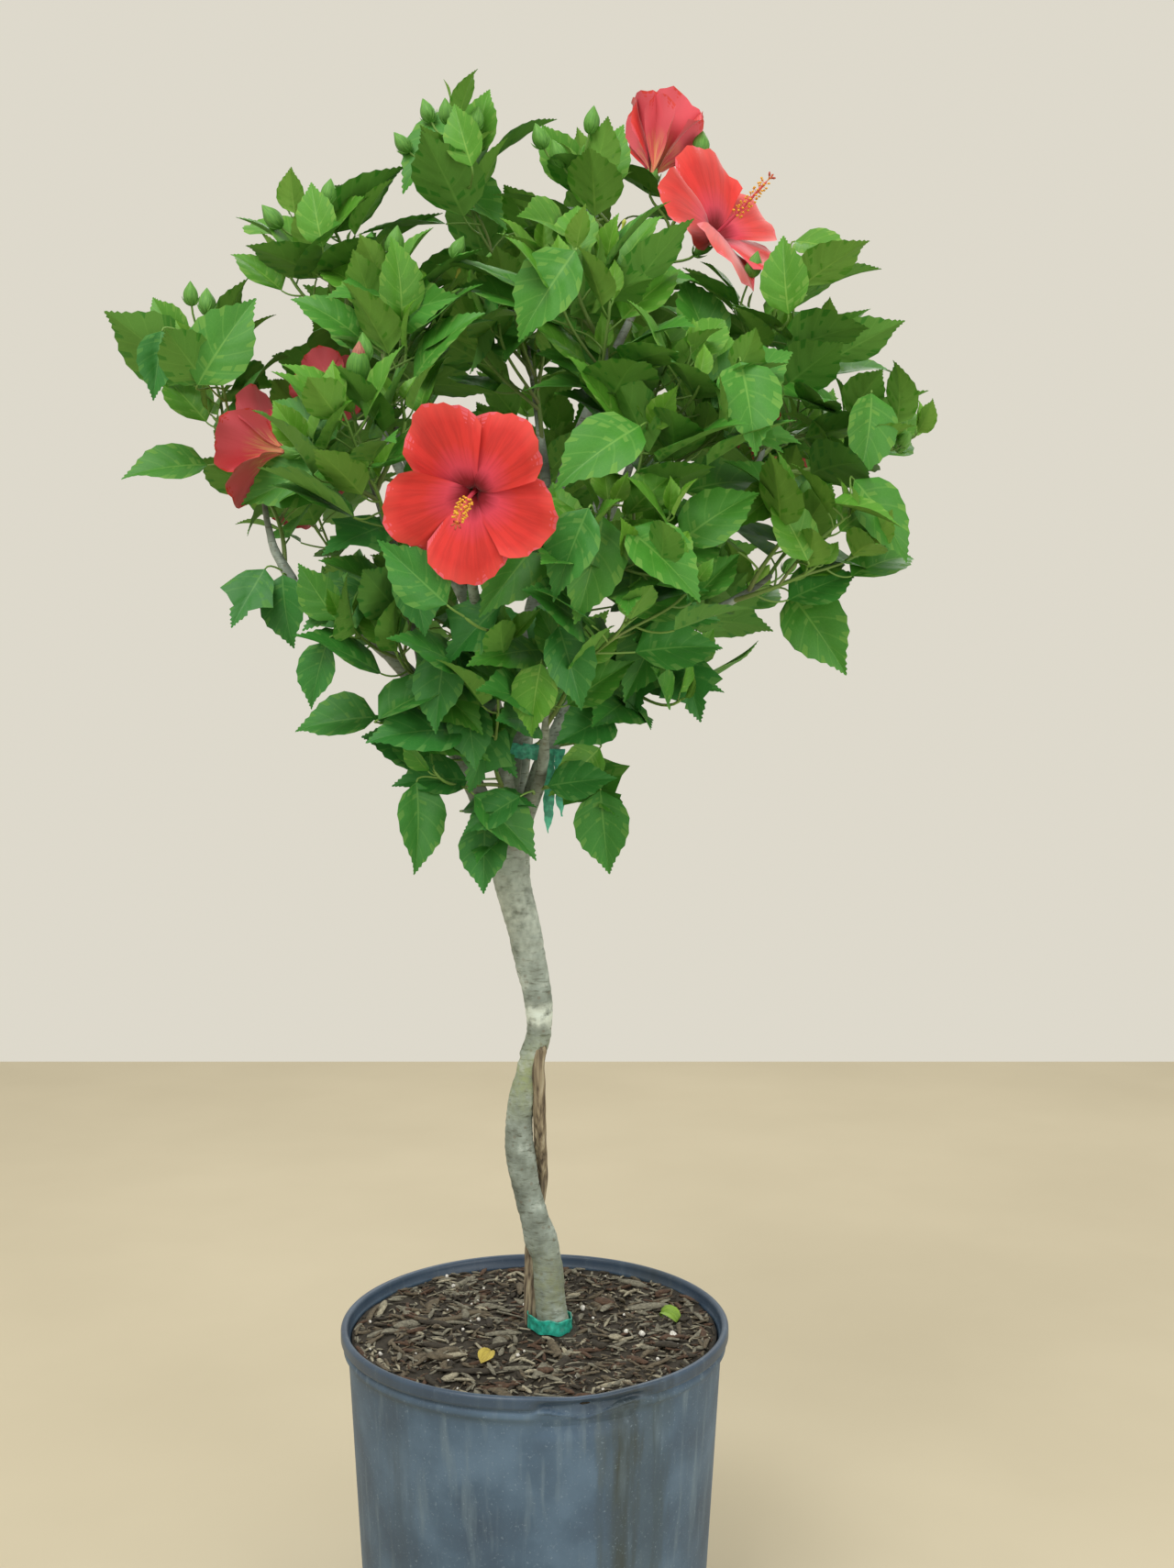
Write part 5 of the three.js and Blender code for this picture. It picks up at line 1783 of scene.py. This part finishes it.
def makeCrown():
    rng = np.random.default_rng(shootSize["seed"])
    wood = Wood()
    for line in boughLines.values():
        wood.add(line[8::3, :3], line[8::3, 3])
    twigs = growShoots(wood, seededShoots(rng))
    shoots = list(twigs)
    foliage = Foliage(wood)
    calyx = makeBlooms(foliage, np.random.default_rng(bloomForm["seed"]))
    for mass, place, facing, petal, opening, turn, droop in blooms:
        way = unit(np.array(facing))
        middle = inMass(mass, place) + way * petal * clearing["bloomAhead"] * mm
        foliage.clear.append((middle, petal * clearing["bloom"] * mm))
    makeBuds(foliage, np.random.default_rng(budForm["seed"]), calyx, shoots)
    # The front blooms and the crown tie show between the leaves.
    for mass, place, facing, petal, opening, turn, droop in blooms[:clearing["shownBlooms"]]:
        middle = inMass(mass, place) - (0, petal * mm, 0)
        foliage.clear.append((middle, petal * clearing["shown"] * mm))
    low, high = np.array(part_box("crown_tie"))
    middle = low + (high - low) * clearing["tiePlace"] - (0, clearing["tieAhead"], 0)
    foliage.clear.append((middle, clearing["tie"]))
    placeLeadLeaves(foliage, rng, twigs)
    print("lead leaves placed:", foliage.count)
    for shoot, leaves, tip, extras in shoots:
        hangLeaves(foliage, rng, shoot, leaves, tip)
    print("leaves placed:", foliage.count)
    makeTwigs(twigs)
    for tone, batch in foliage.batches.items():
        batch.makePiece("leaves_" + tone, waxyLeaf(tone), "leaf", mapped=True)
    stalks = foliage.stalks.makePiece("leaf_stalks", bpy.data.materials["greenTwig"], "leaf", mapped=True)
    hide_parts(*massNodes)


fallenLeaves = [  # place on the mulch and length in mm, arch, degrees round from the right, colours
    ("lime", (131, 8), 26, 3.0, 150, "#86a838", "#64862c"),
    ("yellow", (-44, -88), 24, 0.9, 68, "#c4b24e", "#98853a"),
]


def makeFallenLeaves():
    # Two small dropped leaves, curled as they dry on the mulch.
    rng = np.random.default_rng(33)
    for name, (x, y), length, arch, degrees, pale, dark in fallenLeaves:
        angle = math.radians(degrees)
        along = unit(np.array([math.cos(angle), math.sin(angle), 0.15]))
        face = squareTo(np.array([0.1, -0.5, 1.0]), along)
        axes = np.stack([np.cross(along, face), along, face])
        batch = Batch()
        for side, sheet in enumerate(leafBlade(rng, length * mm, 0.9, arch)):
            batch.addGrid(sheet @ axes + onMulch(x, y, 4), leafPlaces()[side], flip=side == 1)
        skin = downySkin(name + "FallenLeaf", pale, dark)
        batch.makePiece(name + "_fallen_leaf", skin, "leaf", mapped=True)


makeCrown()
makeFallenLeaves()
print("crown made")
